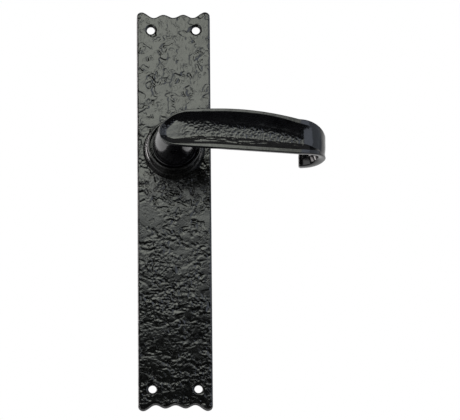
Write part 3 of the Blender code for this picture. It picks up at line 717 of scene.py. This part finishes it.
FACE_OUT = 56 * MM
ROOT_X = -10.3 * MM
ROOT_HEIGHT = -1.9 * MM
BEND_X = 80.2 * MM
HOOK_RADIUS = 17 * MM
HOOK_TURN = math.radians(181)
HOOK_DROOP = 1.2 * MM
HOOK_DIVE = 12.2 * MM
ARCH_X = 28 * MM
ARCH_TOP = 12.7 * MM
BLADE_EDGE_THICKNESS = 4.6 * MM
HOOK_EDGE_EXTRA = 0.8 * MM
BLADE_BACK_BULGE = 2.6 * MM
BULGE_HALF_WIDTH = 12 * MM
FRONT_EDGE_ROUND = 0.7 * MM
BACK_EDGE_ROUND = 2.0 * MM
HOOK_BACK_EDGE_ROUND = 1.0 * MM
UPPER_TIP_ROUND = 3.6 * MM
LOWER_TIP_ROUND = 1.7 * MM

WALL_DEPTH = 2.5 * MM
ROOT_WALL_WIDTH = 4.0 * MM
LOWER_WALL_WIDTH = 6.4 * MM
WALL_NARROWING = 1.4 * MM
ROOT_CURVE_WIDTH = 3.5 * MM
UPPER_CURVE_WIDTH = 15.5 * MM
DISH_START = 0.9 * MM
DISH_END_TURN = math.radians(55)
DISH_RISE = 0.75
LOWER_RIM_AT_ROOT = 0.9 * MM
LOWER_RIM_GROWTH = 1.8 * MM
LOWER_RIM_LEAN = 0.35 * MM
LEAN_FADE = 5 * MM

STRAIGHT = BEND_X - ROOT_X
BLADE_LENGTH = STRAIGHT + HOOK_TURN * HOOK_RADIUS
DISH_END = STRAIGHT + DISH_END_TURN * HOOK_RADIUS
ROOT_LENGTH = 24 * MM
BLADE_STEP = 0.38 * MM
FRONT_POINTS = 83
BACK_POINTS = 35

COLLAR_RADIUS = 14.9 * MM
COLLAR_BACK = 15.6 * MM
JOURNAL_RADIUS = 8.0 * MM
JOURNAL_END = 1.7 * MM
JOURNAL_FLATS = 12.4 * MM
JOURNAL_FLATS_FRONT = 5.3 * MM
GROOVE = (2.1 * MM, 3.0 * MM)
GROOVE_RADIUS = 7.0 * MM
SOCKET_DEPTH = 46.5 * MM
SPINDLE_SIZE = 8 * MM
SPINDLE_FRONT = 46.1 * MM
SPINDLE_BACK = -52 * MM
GRUB_OUT = 38 * MM
GRUB_RADIUS = 2.5 * MM
GRUB_SPAN = (4.3 * MM, 9.9 * MM)
GRUB_SOCKET_RADIUS = 1.45 * MM
GRUB_SOCKET_DEPTH = 2.4 * MM


def hook_turn(along):
    """How far the blade has turned round the hook at distances along it."""
    return np.maximum(0, along - STRAIGHT) / HOOK_RADIUS


def blade_path(along):
    """The outer face's points (x, out) and outward normals at distances along the blade."""
    turn = hook_turn(along)
    x = ROOT_X + np.minimum(along, STRAIGHT) + HOOK_RADIUS * np.sin(turn)
    out = FACE_OUT - HOOK_RADIUS * (1 - np.cos(turn))
    return x, out, np.sin(turn), np.cos(turn)


def rounded_root(along, reach, power):
    """1 along the blade, falling to 0 at the root's end, over the length reach."""
    return (1 - np.maximum(0, 1 - along / reach) ** 2) ** power


def tip_inset(along, radius):
    """How far an edge has turned in at the hook's tip."""
    left = np.maximum(0, radius - (BLADE_LENGTH - along))
    return radius - np.sqrt(np.maximum(0, radius**2 - left**2))


def blade_top(along):
    """Height of the arched upper edge: it peaks near a third and dives round the hook."""
    x = ROOT_X + np.minimum(along, STRAIGHT)
    arch = ARCH_TOP - np.where(x < ARCH_X, 0.9, 2.716) * (x - ARCH_X) ** 2
    share = np.minimum(1, hook_turn(along) / math.radians(150))
    dive = HOOK_DIVE * np.sin(share * math.pi / 2) ** 1.9
    edge = ROOT_HEIGHT + (arch - ROOT_HEIGHT) * rounded_root(along, 22 * MM, 0.61)
    return edge - dive - tip_inset(along, UPPER_TIP_ROUND)


def blade_bottom(along):
    """Height of the lower edge: nearly straight, and round the hook it lifts and then droops."""
    x = ROOT_X + np.minimum(along, STRAIGHT)
    slope = -13.0 * MM - 0.0712 * (x - 14 * MM)
    turn = hook_turn(along)
    lift = 0.5 * MM * (1 - np.cos(np.minimum(turn, math.pi / 2) * 2))
    droop = HOOK_DROOP * ease(turn, math.radians(95), math.radians(160))
    edge = ROOT_HEIGHT + (slope - ROOT_HEIGHT) * rounded_root(along, 10.5 * MM, 0.45)
    return edge + lift - droop + tip_inset(along, LOWER_TIP_ROUND)


def dish_top(along):
    """Height of the dish's upper edge. The rim above it grows along the blade."""
    rim = 0.9 + 1.2 * ease(along, 2 * MM, 26 * MM)
    rim += 1.5 * ease(along, 70 * MM, 103 * MM)
    return blade_top(along) - rim * MM


def dish_bottom(along):
    """Height of the dish's lower edge. The rim below it is narrow at the root and grows."""
    return blade_bottom(along) + LOWER_RIM_AT_ROOT + LOWER_RIM_GROWTH * ease(along, 0, 40 * MM)


def outline(start, end, top, bottom):
    """A closed outline of (along, up) points between two edges, unrolled flat."""
    steps = start + (end - start) * (1 - np.cos(np.linspace(0, math.pi, 241))) / 2
    upper = np.column_stack([steps, top(steps)])
    lower = np.column_stack([steps, bottom(steps)])[::-1]
    return np.vstack([upper, lower])


def distance_to(outline, points):
    """Shortest distance from each point to a closed outline."""
    step = np.roll(outline, -1, axis=0) - outline
    length = np.maximum((step**2).sum(axis=1), 1e-18)
    away = points[:, None, :] - outline[None, :, :]
    share = np.clip((away * step).sum(axis=2) / length, 0, 1)
    gap = away - share[:, :, None] * step
    return np.sqrt((gap**2).sum(axis=2).min(axis=1))


def edge_drop(distance, radius):
    """How far a rounded edge has fallen at this distance from the outline."""
    left = np.maximum(0, radius - distance)
    return radius - np.sqrt(np.maximum(0, radius**2 - left**2))


def swell(distance, width, power=2.2):
    """Rises from 0 to 1 at width, steep first and then level."""
    return 1 - (1 - np.clip(distance / width, 0, 1)) ** power


def dish_wall_top(along):
    """Upper edge of the outline that the steep wall follows: past the root it is out of reach."""
    return dish_top(along) + 30 * MM * ease(along, 6 * MM, 20 * MM)


def wall_width(along):
    """Width of the steep wall at the root and along the lower edge."""
    grown = ease(along, 8 * MM, 28 * MM)
    width = ROOT_WALL_WIDTH + (LOWER_WALL_WIDTH - ROOT_WALL_WIDTH) * grown
    return width - WALL_NARROWING * ease(along, 50 * MM, 85 * MM)


def dish_depth(dish, along, up):
    """Depth of the dish and of the lower rim's lean towards it, and how far in each point is.

    A steep wall follows the root and the lower edge. From the upper edge the dish curves in gently.
    """
    low, high = dish_bottom(along), dish_top(along)
    lean = LOWER_RIM_LEAN * ease(up, blade_bottom(along), low)
    lean *= ease(along, 8 * MM, 26 * MM) * (1 - ease(up, low, low + LEAN_FADE))
    inside = np.zeros(len(up))
    if not DISH_START < along < DISH_END:
        return lean, inside
    within = (low < up) & (up < high)
    inside[within] = distance_to(dish, np.column_stack([np.full(within.sum(), along), up[within]]))
    grown = ease(along, 8 * MM, 28 * MM)
    width = wall_width(along)
    reach = ROOT_CURVE_WIDTH + (UPPER_CURVE_WIDTH - ROOT_CURVE_WIDTH) * grown
    fading = 1 - DISH_RISE * ease(along, STRAIGHT, DISH_END)
    depth = WALL_DEPTH * swell(inside, width * fading, 1.15) * swell(high - up, reach, 2.4) * within
    inside = np.minimum(inside, np.maximum(0, high - up))
    return lean + depth * fading, inside


def blade_stations():
    """Where the sections stand: close together at the root's and the tip's round ends."""
    root = ROOT_LENGTH * (1 - np.cos(np.linspace(0.04, math.pi / 2, 84)))
    count = int((BLADE_LENGTH - UPPER_TIP_ROUND - ROOT_LENGTH) / BLADE_STEP)
    body = np.linspace(ROOT_LENGTH, BLADE_LENGTH - UPPER_TIP_ROUND, count)[1:]
    tip = BLADE_LENGTH - UPPER_TIP_ROUND * (1 - np.sin(np.linspace(0, math.pi / 2, 17)))[1:-1]
    return [*root, *body, *tip]


def blade_skin(points, along, inside):
    """How far the blade's front lies below its true surface: pebbly in the dish, calm on the rim."""
    up = points[:, 1]
    floor = ease(inside, 0.1 * MM, 1.4 * MM)
    pebbled = floor * ease(along, 10 * MM, 19 * MM)
    pebbled *= 1 - ease(along, STRAIGHT + 1.6 * MM, STRAIGHT + 2.8 * MM)
    calm = (2.5 + 4.5 * ease(along, 24 * MM, 50 * MM)) * MM
    pebbled *= 0.12 + 0.88 * ease(dish_top(along) - up, calm, calm + 3 * MM)
    wall_top = dish_bottom(along) + wall_width(along)
    wall = 1 - ease(up, wall_top - 1.8 * MM, wall_top + 1.2 * MM)
    root_wall = floor * (1 - ease(inside, 3.0 * MM, 4.2 * MM))
    root_wall *= 1 - ease(along, 11 * MM, 18 * MM)
    lumps = noise(points, 1.3 * MM, 51) + 0.8 * noise(points, 0.85 * MM, 52)
    folds = creases(points, 2 * MM, 60, 0.3, (-0.1, 0.2))
    streaks = noise(points * (0.22, 1, 1), 1.1 * MM, 56)
    uneven = 0.05 * noise(points * (0.5, 1, 1), 3 * MM, 54) + 0.02 * noise(points, 1.4 * MM, 55)
    rough = pebbled * ((1 - 0.8 * wall) * (0.13 * lumps + 0.12 * folds) + 0.11 * wall * streaks)
    mottled = 0.13 * root_wall * lumps
    return np.maximum(0, 0.08 + 0.25 * pebbled + 0.12 * root_wall + rough + mottled + uneven) * MM


def blade_blank():
    """The blade and hook: sections across the path, dished in front and swelled behind."""
    whole = outline(0, BLADE_LENGTH, blade_top, blade_bottom)
    dish = outline(DISH_START, DISH_END, dish_wall_top, dish_bottom)
    points = []
    rings = []
    for along in blade_stations():
        x, out, nx, nout = blade_path(along)
        middle = (blade_top(along) + blade_bottom(along)) / 2
        half = (blade_top(along) - blade_bottom(along)) / 2
        hooked = ease(hook_turn(along), math.radians(60), math.radians(120))
        extra = HOOK_EDGE_EXTRA * hooked
        back_round = BACK_EDGE_ROUND + (HOOK_BACK_EDGE_ROUND - BACK_EDGE_ROUND) * hooked
        ring = []
        for front, count in ((True, FRONT_POINTS), (False, BACK_POINTS)):
            shares = np.sin(np.linspace(math.pi / 2, -math.pi / 2, count))
            shares = 0.3 * shares + 0.7 * np.linspace(1, -1, count)
            up = middle + half * shares
            edge = distance_to(whole, np.column_stack([np.full(count, along), up]))
            if front:
                dished, inside = dish_depth(dish, along, up)
                place = np.column_stack([np.full(count, x), up, np.full(count, out)])
                depth = edge_drop(edge, FRONT_EDGE_ROUND) + dished + blade_skin(place, along, inside)
            else:
                bulge = (BLADE_BACK_BULGE - extra) * swell(edge, BULGE_HALF_WIDTH)
                depth = BLADE_EDGE_THICKNESS + extra + bulge - edge_drop(edge, back_round)
                place = np.column_stack([x - nx * depth, up, out - nout * depth])
                uneven = 0.08 * noise(place, 4 * MM, 81) + 0.03 * noise(place, 1.3 * MM, 82)
                depth = depth + (1 - 0.9 * hooked) * uneven * MM
            row = np.column_stack([x - nx * depth, up, out - nout * depth])
            ring.append(row if front else row[::-1])
        ring = np.vstack(ring)
        rings.append(list(range(len(points), len(points) + len(ring))))
        points.extend(ring)
    return new_object("lever_casting", points, bands(rings) + [rings[0], rings[-1]])


def neck_blank():
    """Neck, collar and journal, from the neck's front inside the blade to the journal's end."""
    collar_edge = [
        (14.2 * MM + 0.7 * MM * math.sin(angle), 17.5 * MM - 0.7 * MM * (1 - math.cos(angle)))
        for angle in np.linspace(-math.pi / 3, math.pi / 2, 13)
    ]
    bell = [(13.7, 17.6), (13.6, 19.5), (13.3, 24), (12.7, 30), (11.8, 36), (10.7, 42), (9.7, 47)]
    crown = [(8.3, 49.8), (6.5, 51.2)]
    side = smooth_curve([(radius * MM, out * MM) for radius, out in reversed(bell + crown)], 5)
    profile = [
        (0, 51.2 * MM),
        *side,
        *collar_edge,
        (COLLAR_RADIUS, COLLAR_BACK),
        *stepped(
            (JOURNAL_RADIUS, COLLAR_BACK, GROOVE[1]),
            (GROOVE_RADIUS, GROOVE[1], GROOVE[0]),
            (JOURNAL_RADIUS, GROOVE[0], JOURNAL_END),
        )[1:],
    ]
    return turned("neck_blank", profile)


def upright_cutter(solid):
    """Turns a solid drawn along the out direction to run down the lever's neck, at the grub screw."""
    solid.data.transform(Matrix.Translation((0, 0, GRUB_OUT)) @ Matrix.Rotation(math.pi / 2, 4, "X"))
    return solid


def build_lever():
    lever = blade_blank()
    half = SPINDLE_SIZE / 2 + GAP
    flats = []
    for side in (1, -1):
        ends = sorted([side * JOURNAL_FLATS / 2, side * (JOURNAL_RADIUS + MM)])
        low = (-JOURNAL_RADIUS - MM, ends[0], -OVERRUN)
        flats.append(block("flat", low, (JOURNAL_RADIUS + MM, ends[1], JOURNAL_FLATS_FRONT)))
    hole = turned("grub_hole", stepped((GRUB_RADIUS + GAP, 16 * MM, 3 * MM)), SMALL_ROUND_STEPS)
    changes = [
        ("UNION", [neck_blank()]),
        ("DIFFERENCE", [block("socket", (-half, -half, -OVERRUN), (half, half, SOCKET_DEPTH)), *flats]),
        ("DIFFERENCE", [upright_cutter(hole)]),
    ]
    combine(lever, changes)
    finish_piece(lever, GLOSS_BLACK, "lever_body", "lever", 45)


def build_grub_screw():
    """A cup-point socket grub screw, driven up from the underside of the neck."""
    inner, outer = GRUB_SPAN
    radius, chamfer = GRUB_RADIUS, 0.5 * MM
    profile = [(0, outer), (radius - chamfer, outer), (radius, outer - chamfer)]
    profile += [(radius, inner + 2 * chamfer), (radius - 2 * chamfer, inner), (0, inner)]
    screw = turned("grub_screw_body", profile, SMALL_ROUND_STEPS)
    outline = arc(GRUB_SOCKET_RADIUS, 0, 2 * math.pi, 7)[:-1]
    hexagon = flat_piece("hexagon", [outline], (outer - GRUB_SOCKET_DEPTH, outer + MM))
    combine(screw, [("DIFFERENCE", [hexagon])])
    soften(screw, 0.06 * MM)
    upright_cutter(screw)
    finish_piece(screw, BLACK_STEEL, "lever_body", "grub_screw")


def build_spindle():
    half = SPINDLE_SIZE / 2
    spindle = block("spindle_bar", (-half, -half, SPINDLE_BACK), (half, half, SPINDLE_FRONT))
    soften(spindle, 0.4 * MM, segments=3)
    finish_piece(spindle, ZINC_STEEL, "lever_body", "spindle")


# ---------------- pieces inside the boss

WIRE_DIAMETER = 1.5 * MM
COIL_RADIUS = 12.6 * MM
COIL_FRONT = 10.5 * MM
COIL_BACK = 6.5 * MM
COIL_WHOLE_TURNS = 2
MOVING_LEG_TIP = 3.5 * MM
WIRE_SIDES = 16


def build_thrust_washer():
    front, back = COLLAR_BACK - GAP, WEB_FRONT + GAP
    inner, outer = 10.4 * MM, 14.6 * MM
    profile = [(outer, front), (outer, back), (inner, back), (inner, front)]
    washer = turned("thrust_washer_ring", profile, 96, closed=True)
    soften(washer, 0.08 * MM)
    finish_piece(washer, NYLON, "lever_body", "thrust_washer")


def build_neck_bush():
    inner = JOURNAL_RADIUS + GAP
    outer, flange = 10.0 * MM, 11.3 * MM
    shoulder = WEB_BACK - GAP
    profile = [(outer, WEB_FRONT), (outer, shoulder), (flange, shoulder)]
    profile += [(flange, shoulder - MM), (inner, shoulder - MM), (inner, WEB_FRONT)]
    bush = turned("neck_bush_sleeve", profile, 96, closed=True)
    soften(bush, 0.12 * MM)
    finish_piece(bush, BRONZE, "plate_body", "neck_bush")


def build_spring_driver():
    start, end = LUG_ANGLE - LUG_HALF_WIDTH, LUG_ANGLE + LUG_HALF_WIDTH
    outside = arc(16.5 * MM, start, end, 11)
    outside += arc(13.4 * MM, end + 0.02, start + 2 * math.pi - 0.02, 90)
    hole_radius = JOURNAL_RADIUS + GAP
    corner = math.asin((JOURNAL_FLATS / 2 + GAP) / hole_radius)
    hole = arc(hole_radius, -corner, corner, 25)
    hole += arc(hole_radius, math.pi - corner, math.pi + corner, 25)
    leg_hole = arc(WIRE_DIAMETER / 2 + 0.4 * MM, 0, 2 * math.pi, 33, polar(COIL_RADIUS, LUG_ANGLE))[:-1]
    driver = flat_piece("spring_driver_disc", [outside, hole, leg_hole], (3.3 * MM, 5.0 * MM))
    soften(driver, 0.1 * MM)
    finish_piece(driver, ZINC_STEEL, "lever_body", "spring_driver")


def build_circlip():
    """An external circlip: an open ring with an eye at each end."""
    gap = math.radians(14)
    inner, outer, eye = GROOVE_RADIUS + GAP, 9.6 * MM, 11.6 * MM
    ear = math.radians(16)
    loop = arc(eye, gap, gap + ear, 8)
    loop += arc(outer, gap + ear + 0.04, 2 * math.pi - gap - ear - 0.04, 80)
    loop += arc(eye, 2 * math.pi - gap - ear, 2 * math.pi - gap, 8)
    loop += arc(inner, 2 * math.pi - gap, gap, 80)
    loops = [loop]
    for angle in (gap + ear / 2, -gap - ear / 2):
        loops.append(arc(0.6 * MM, 0, 2 * math.pi, 21, polar(10 * MM, angle))[:-1])
    clip = flat_piece("circlip_ring", loops, (2.25 * MM, 2.85 * MM))
    soften(clip, 0.05 * MM)
    clip.data.transform(Matrix.Rotation(-math.pi / 2, 4, "Z"))
    finish_piece(clip, SPRING_STEEL, "lever_body", "circlip")


def spring_route():
    """The wire's middle: radial leg, coil, and an axial leg through the driver's lug."""
    turn = -(FIXED_LEG_ANGLE - LUG_ANGLE) - 2 * math.pi * COIL_WHOLE_TURNS
    count = 2 + int(abs(turn) / math.radians(5))
    angles = np.linspace(FIXED_LEG_ANGLE, FIXED_LEG_ANGLE + turn, count)
    outs = np.linspace(COIL_FRONT, COIL_BACK, count)
    bend = math.radians(8)
    coil = [
        (*polar(COIL_RADIUS, angle), out)
        for angle, out in zip(angles, outs)
        if angles[0] - angle > bend and angle - angles[-1] > bend
    ]
    fixed = [
        (*polar(radius, FIXED_LEG_ANGLE), COIL_FRONT)
        for radius in (FIXED_LEG_REACH, COIL_RADIUS + 1.6 * MM, COIL_RADIUS + 0.9 * MM)
    ]
    leg = polar(COIL_RADIUS, LUG_ANGLE)
    moving = [(*leg, out) for out in (COIL_BACK - 1.1 * MM, COIL_BACK - 1.8 * MM, MOVING_LEG_TIP)]
    return np.array(fixed + coil + moving)


def build_return_spring():
    """The wire is a tube of rings carried along the route, so that the rings never twist."""
    route = spring_route()
    tangent = np.gradient(route, axis=0)
    tangent /= np.linalg.norm(tangent, axis=1)[:, None]
    side = Vector((0, 0, 1))
    points = []
    for place, direction in zip(route, tangent):
        direction = Vector(direction)
        side = (side - direction * side.dot(direction)).normalized()
        other = direction.cross(side)
        for angle in np.arange(WIRE_SIDES) * 2 * math.pi / WIRE_SIDES:
            reach = side * math.cos(angle) + other * math.sin(angle)
            points.append(tuple(Vector(place) + reach * WIRE_DIAMETER / 2))
    rings = [list(range(start, start + WIRE_SIDES)) for start in range(0, len(points), WIRE_SIDES)]
    spring = new_object("return_spring_wire", points, bands(rings) + [rings[0], rings[-1]])
    finish_piece(spring, SPRING_STEEL, None, "return_spring")
    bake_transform(spring)


def build_cover():
    outside = rounded_rectangle(*COVER_SIZE, COVER_CORNER)
    centre = arc(COVER_HOLE_RADIUS, 0, 2 * math.pi, 73)[:-1]
    cover = flat_piece("spring_cover_plate", [outside, centre], (COVER_BACK, COVER_FRONT))
    head, hole = COVER_SCREW_HEAD + GAP, COVER_SCREW_RADIUS + GAP
    cone_end = COVER_BACK + head - hole
    profile = stepped((hole, COVER_FRONT + OVERRUN, cone_end), (head, COVER_BACK, -OVERRUN))
    cuts = [turned("cover_hole", profile, 48, place) for place in COVER_SCREW_PLACES]
    combine(cover, [("DIFFERENCE", cuts)])
    finish_piece(cover, ZINC_STEEL, "plate_body", "spring_cover")


def build_cover_screw(number, x, up):
    back = COVER_BACK + 0.1 * MM
    radius, head, tip = COVER_SCREW_RADIUS, COVER_SCREW_HEAD, COVER_SCREW_TIP
    profile = [(0, tip), (radius - 0.5 * MM, tip), (radius, tip - 0.5 * MM), (radius, back + head - radius)]
    profile += [(head, back + 0.15 * MM), (head - 0.1 * MM, back), (0, back)]
    screw = turned(f"cover_screw_{number}_body", profile, 48, (x, up))
    low = (x - 4 * MM, up - 0.4 * MM, -OVERRUN)
    slot = block("slot", low, (x + 4 * MM, up + 0.4 * MM, back + 0.6 * MM))
    combine(screw, [("DIFFERENCE", [slot])])
    finish_piece(screw, ZINC_STEEL, "plate_body", f"cover_screw_{number}")


# ---------------- studio

CAMERA_ELEVATION = math.radians(-16)
CAMERA_AZIMUTH = math.radians(-1.25)
CAMERA_ROLL = math.radians(-0.53)
CAMERA_DISTANCE = 3.2
CAMERA_AIM = Vector((36.1 * MM, 0, -39.27 * MM))
CAMERA_LENS = 385.8
FLOOR_HEIGHT = -1.3
# Greys that the handle reflects, as (place from 0 in front to 1 behind, tone)
ROOM_TONES = [(0, 0.008), (0.45, 0.015), (0.56, 0.1), (0.68, 0.95)]


def build_camera():
    """A long lens that looks slightly up at the handle from the front."""
    camera = linked("camera", bpy.data.cameras.new("camera"))
    camera.data.sensor_width = 36
    camera.data.lens = CAMERA_LENS
    camera.data.clip_end = 60
    azimuth = Matrix.Rotation(CAMERA_AZIMUTH, 4, "Z")
    tilt = Matrix.Rotation(math.pi / 2 - CAMERA_ELEVATION, 4, "X")
    roll = Matrix.Rotation(CAMERA_ROLL, 4, "Z")
    back = Matrix.Translation((0, 0, CAMERA_DISTANCE))
    camera.matrix_world = Matrix.Translation(CAMERA_AIM) @ azimuth @ tilt @ roll @ back
    SCENE.camera = camera


def soft_light(name, place, size, radiance, colour=(1, 1, 1), aim=(0, 0, 0)):
    """A rectangular light of a given radiance, pointed at aim, which the camera doesn't see."""
    light = bpy.data.lights.new(name, "AREA")
    light.shape = "RECTANGLE"
    light.size, light.size_y = size
    light.energy = radiance * math.pi * size[0] * size[1]
    light.color = colour
    obj = linked(name, light)
    obj.location = place
    obj.rotation_mode = "QUATERNION"
    obj.rotation_quaternion = (Vector(aim) - Vector(place)).to_track_quat("-Z", "Y")
    obj.visible_camera = False


def build_floor():
    """A plain pale floor, well below the handle. It glows a little, as a lit studio floor does."""
    made = bmesh.new()
    bmesh.ops.create_grid(made, x_segments=8, y_segments=8, size=30)
    floor = from_bmesh("floor", made)
    floor.location = (0, 0, FLOOR_HEIGHT)
    paper, tree, shader = nodes_of("floor_paper")
    tint(tree, texture(tree, 0.4, 2), (0.8,) * 3, (0.83,) * 3, shader.inputs["Base Color"])
    shader.inputs["Roughness"].default_value = 0.9
    shader.inputs["Emission Color"].default_value = (1, 1, 1, 1)
    shader.inputs["Emission Strength"].default_value = 0.6
    floor.data.materials.append(paper)
    floor.visible_glossy = False


def build_world():
    """White where the camera looks; for light and reflections, white behind and dark in front."""
    SCENE.world = bpy.data.worlds.new("studio")
    SCENE.world.use_nodes = True
    tree = SCENE.world.node_tree
    tree.nodes.clear()
    room = tree.nodes.new("ShaderNodeValToRGB")
    stops = room.color_ramp.elements
    stops[1].position = ROOM_TONES[-1][0]
    for position, _ in ROOM_TONES[1:-1]:
        stops.new(position)
    for stop, (_, tone) in zip(stops, ROOM_TONES):
        stop.color = (tone, tone, tone, 1)
    behind = spread(tree, coordinate(tree, "Generated", "Y"), 0, 1, -1, 1)
    tree.links.new(behind, room.inputs["Fac"])
    reflected = tree.nodes.new("ShaderNodeBackground")
    tree.links.new(room.outputs["Color"], reflected.inputs["Color"])
    seen = tree.nodes.new("ShaderNodeBackground")
    seen.inputs["Color"].default_value = (1, 1, 1, 1)
    ray = tree.nodes.new("ShaderNodeLightPath")
    mix = tree.nodes.new("ShaderNodeMixShader")
    tree.links.new(ray.outputs["Is Camera Ray"], mix.inputs["Fac"])
    tree.links.new(reflected.outputs["Background"], mix.inputs[1])
    tree.links.new(seen.outputs["Background"], mix.inputs[2])
    output = tree.nodes.new("ShaderNodeOutputWorld")
    tree.links.new(mix.outputs["Shader"], output.inputs["Surface"])


KEY_Y = -0.42
# Heights between the key light's strips: one tall strip, then short ones where it fades
KEY_HEIGHTS = [0.4, *np.linspace(0.2, -0.05, 11)]
KEY_FADE = (-0.02, 0.17)
KEY_RADIANCE = (0.03, 4.5)
# Left and right edges of each strip's parts, and how bright each part is
KEY_PARTS = [(-0.15, 0.03, 1), (0.03, 0.08, 0.75), (0.08, 0.13, 0.42)]


def build_key():
    """The main light in front of the handle: strips that fade downwards and to the right."""
    for number, (top, bottom) in enumerate(zip(KEY_HEIGHTS, KEY_HEIGHTS[1:])):
        height = (top + bottom) / 2
        share = float(ease(height, *KEY_FADE))
        radiance = KEY_RADIANCE[0] + (KEY_RADIANCE[1] - KEY_RADIANCE[0]) * share
        colour = (0.94 + 0.02 * share, 1, 1.02 - 0.12 * share)
        for part, (left, right, strength) in enumerate(KEY_PARTS):
            middle, size = (left + right) / 2, (right - left, top - bottom)
            name, place, aim = f"key_{number}_{part}", (middle, KEY_Y, height), (middle, 0, height)
            soft_light(name, place, size, radiance * strength, colour, aim)


def build_studio():
    build_camera()
    build_floor()
    build_world()
    build_key()
    soft_light("overhead", (0, -0.35, 0.85), (1.2, 0.8), 0.2)
    soft_light("key_cool", (0.29, KEY_Y, 0.14), (0.32, 0.44), 1.8, (0.78, 0.85, 1), (0.29, 0, 0.14))
    soft_light("left_warm", (-0.9, 0.26, 0.25), (1.0, 0.8), 5.0, (1, 0.95, 0.95))
    soft_light("right_cool", (0.9, -0.3, 0.12), (0.9, 1.1), 0.8, (0.8, 0.88, 1))
    soft_light("low_left", (-0.7, -0.7, -0.46), (0.9, 0.7), 1.5)
    SCENE.view_settings.view_transform = "Standard"


# ---------------- assembly

build_studio()
build_backplate()
build_lever()
build_grub_screw()
build_spindle()
build_thrust_washer()
build_neck_bush()
build_spring_driver()
build_circlip()
build_return_spring()
build_cover()
for screw_number, screw_place in enumerate(COVER_SCREW_PLACES, 1):
    build_cover_screw(screw_number, *screw_place)
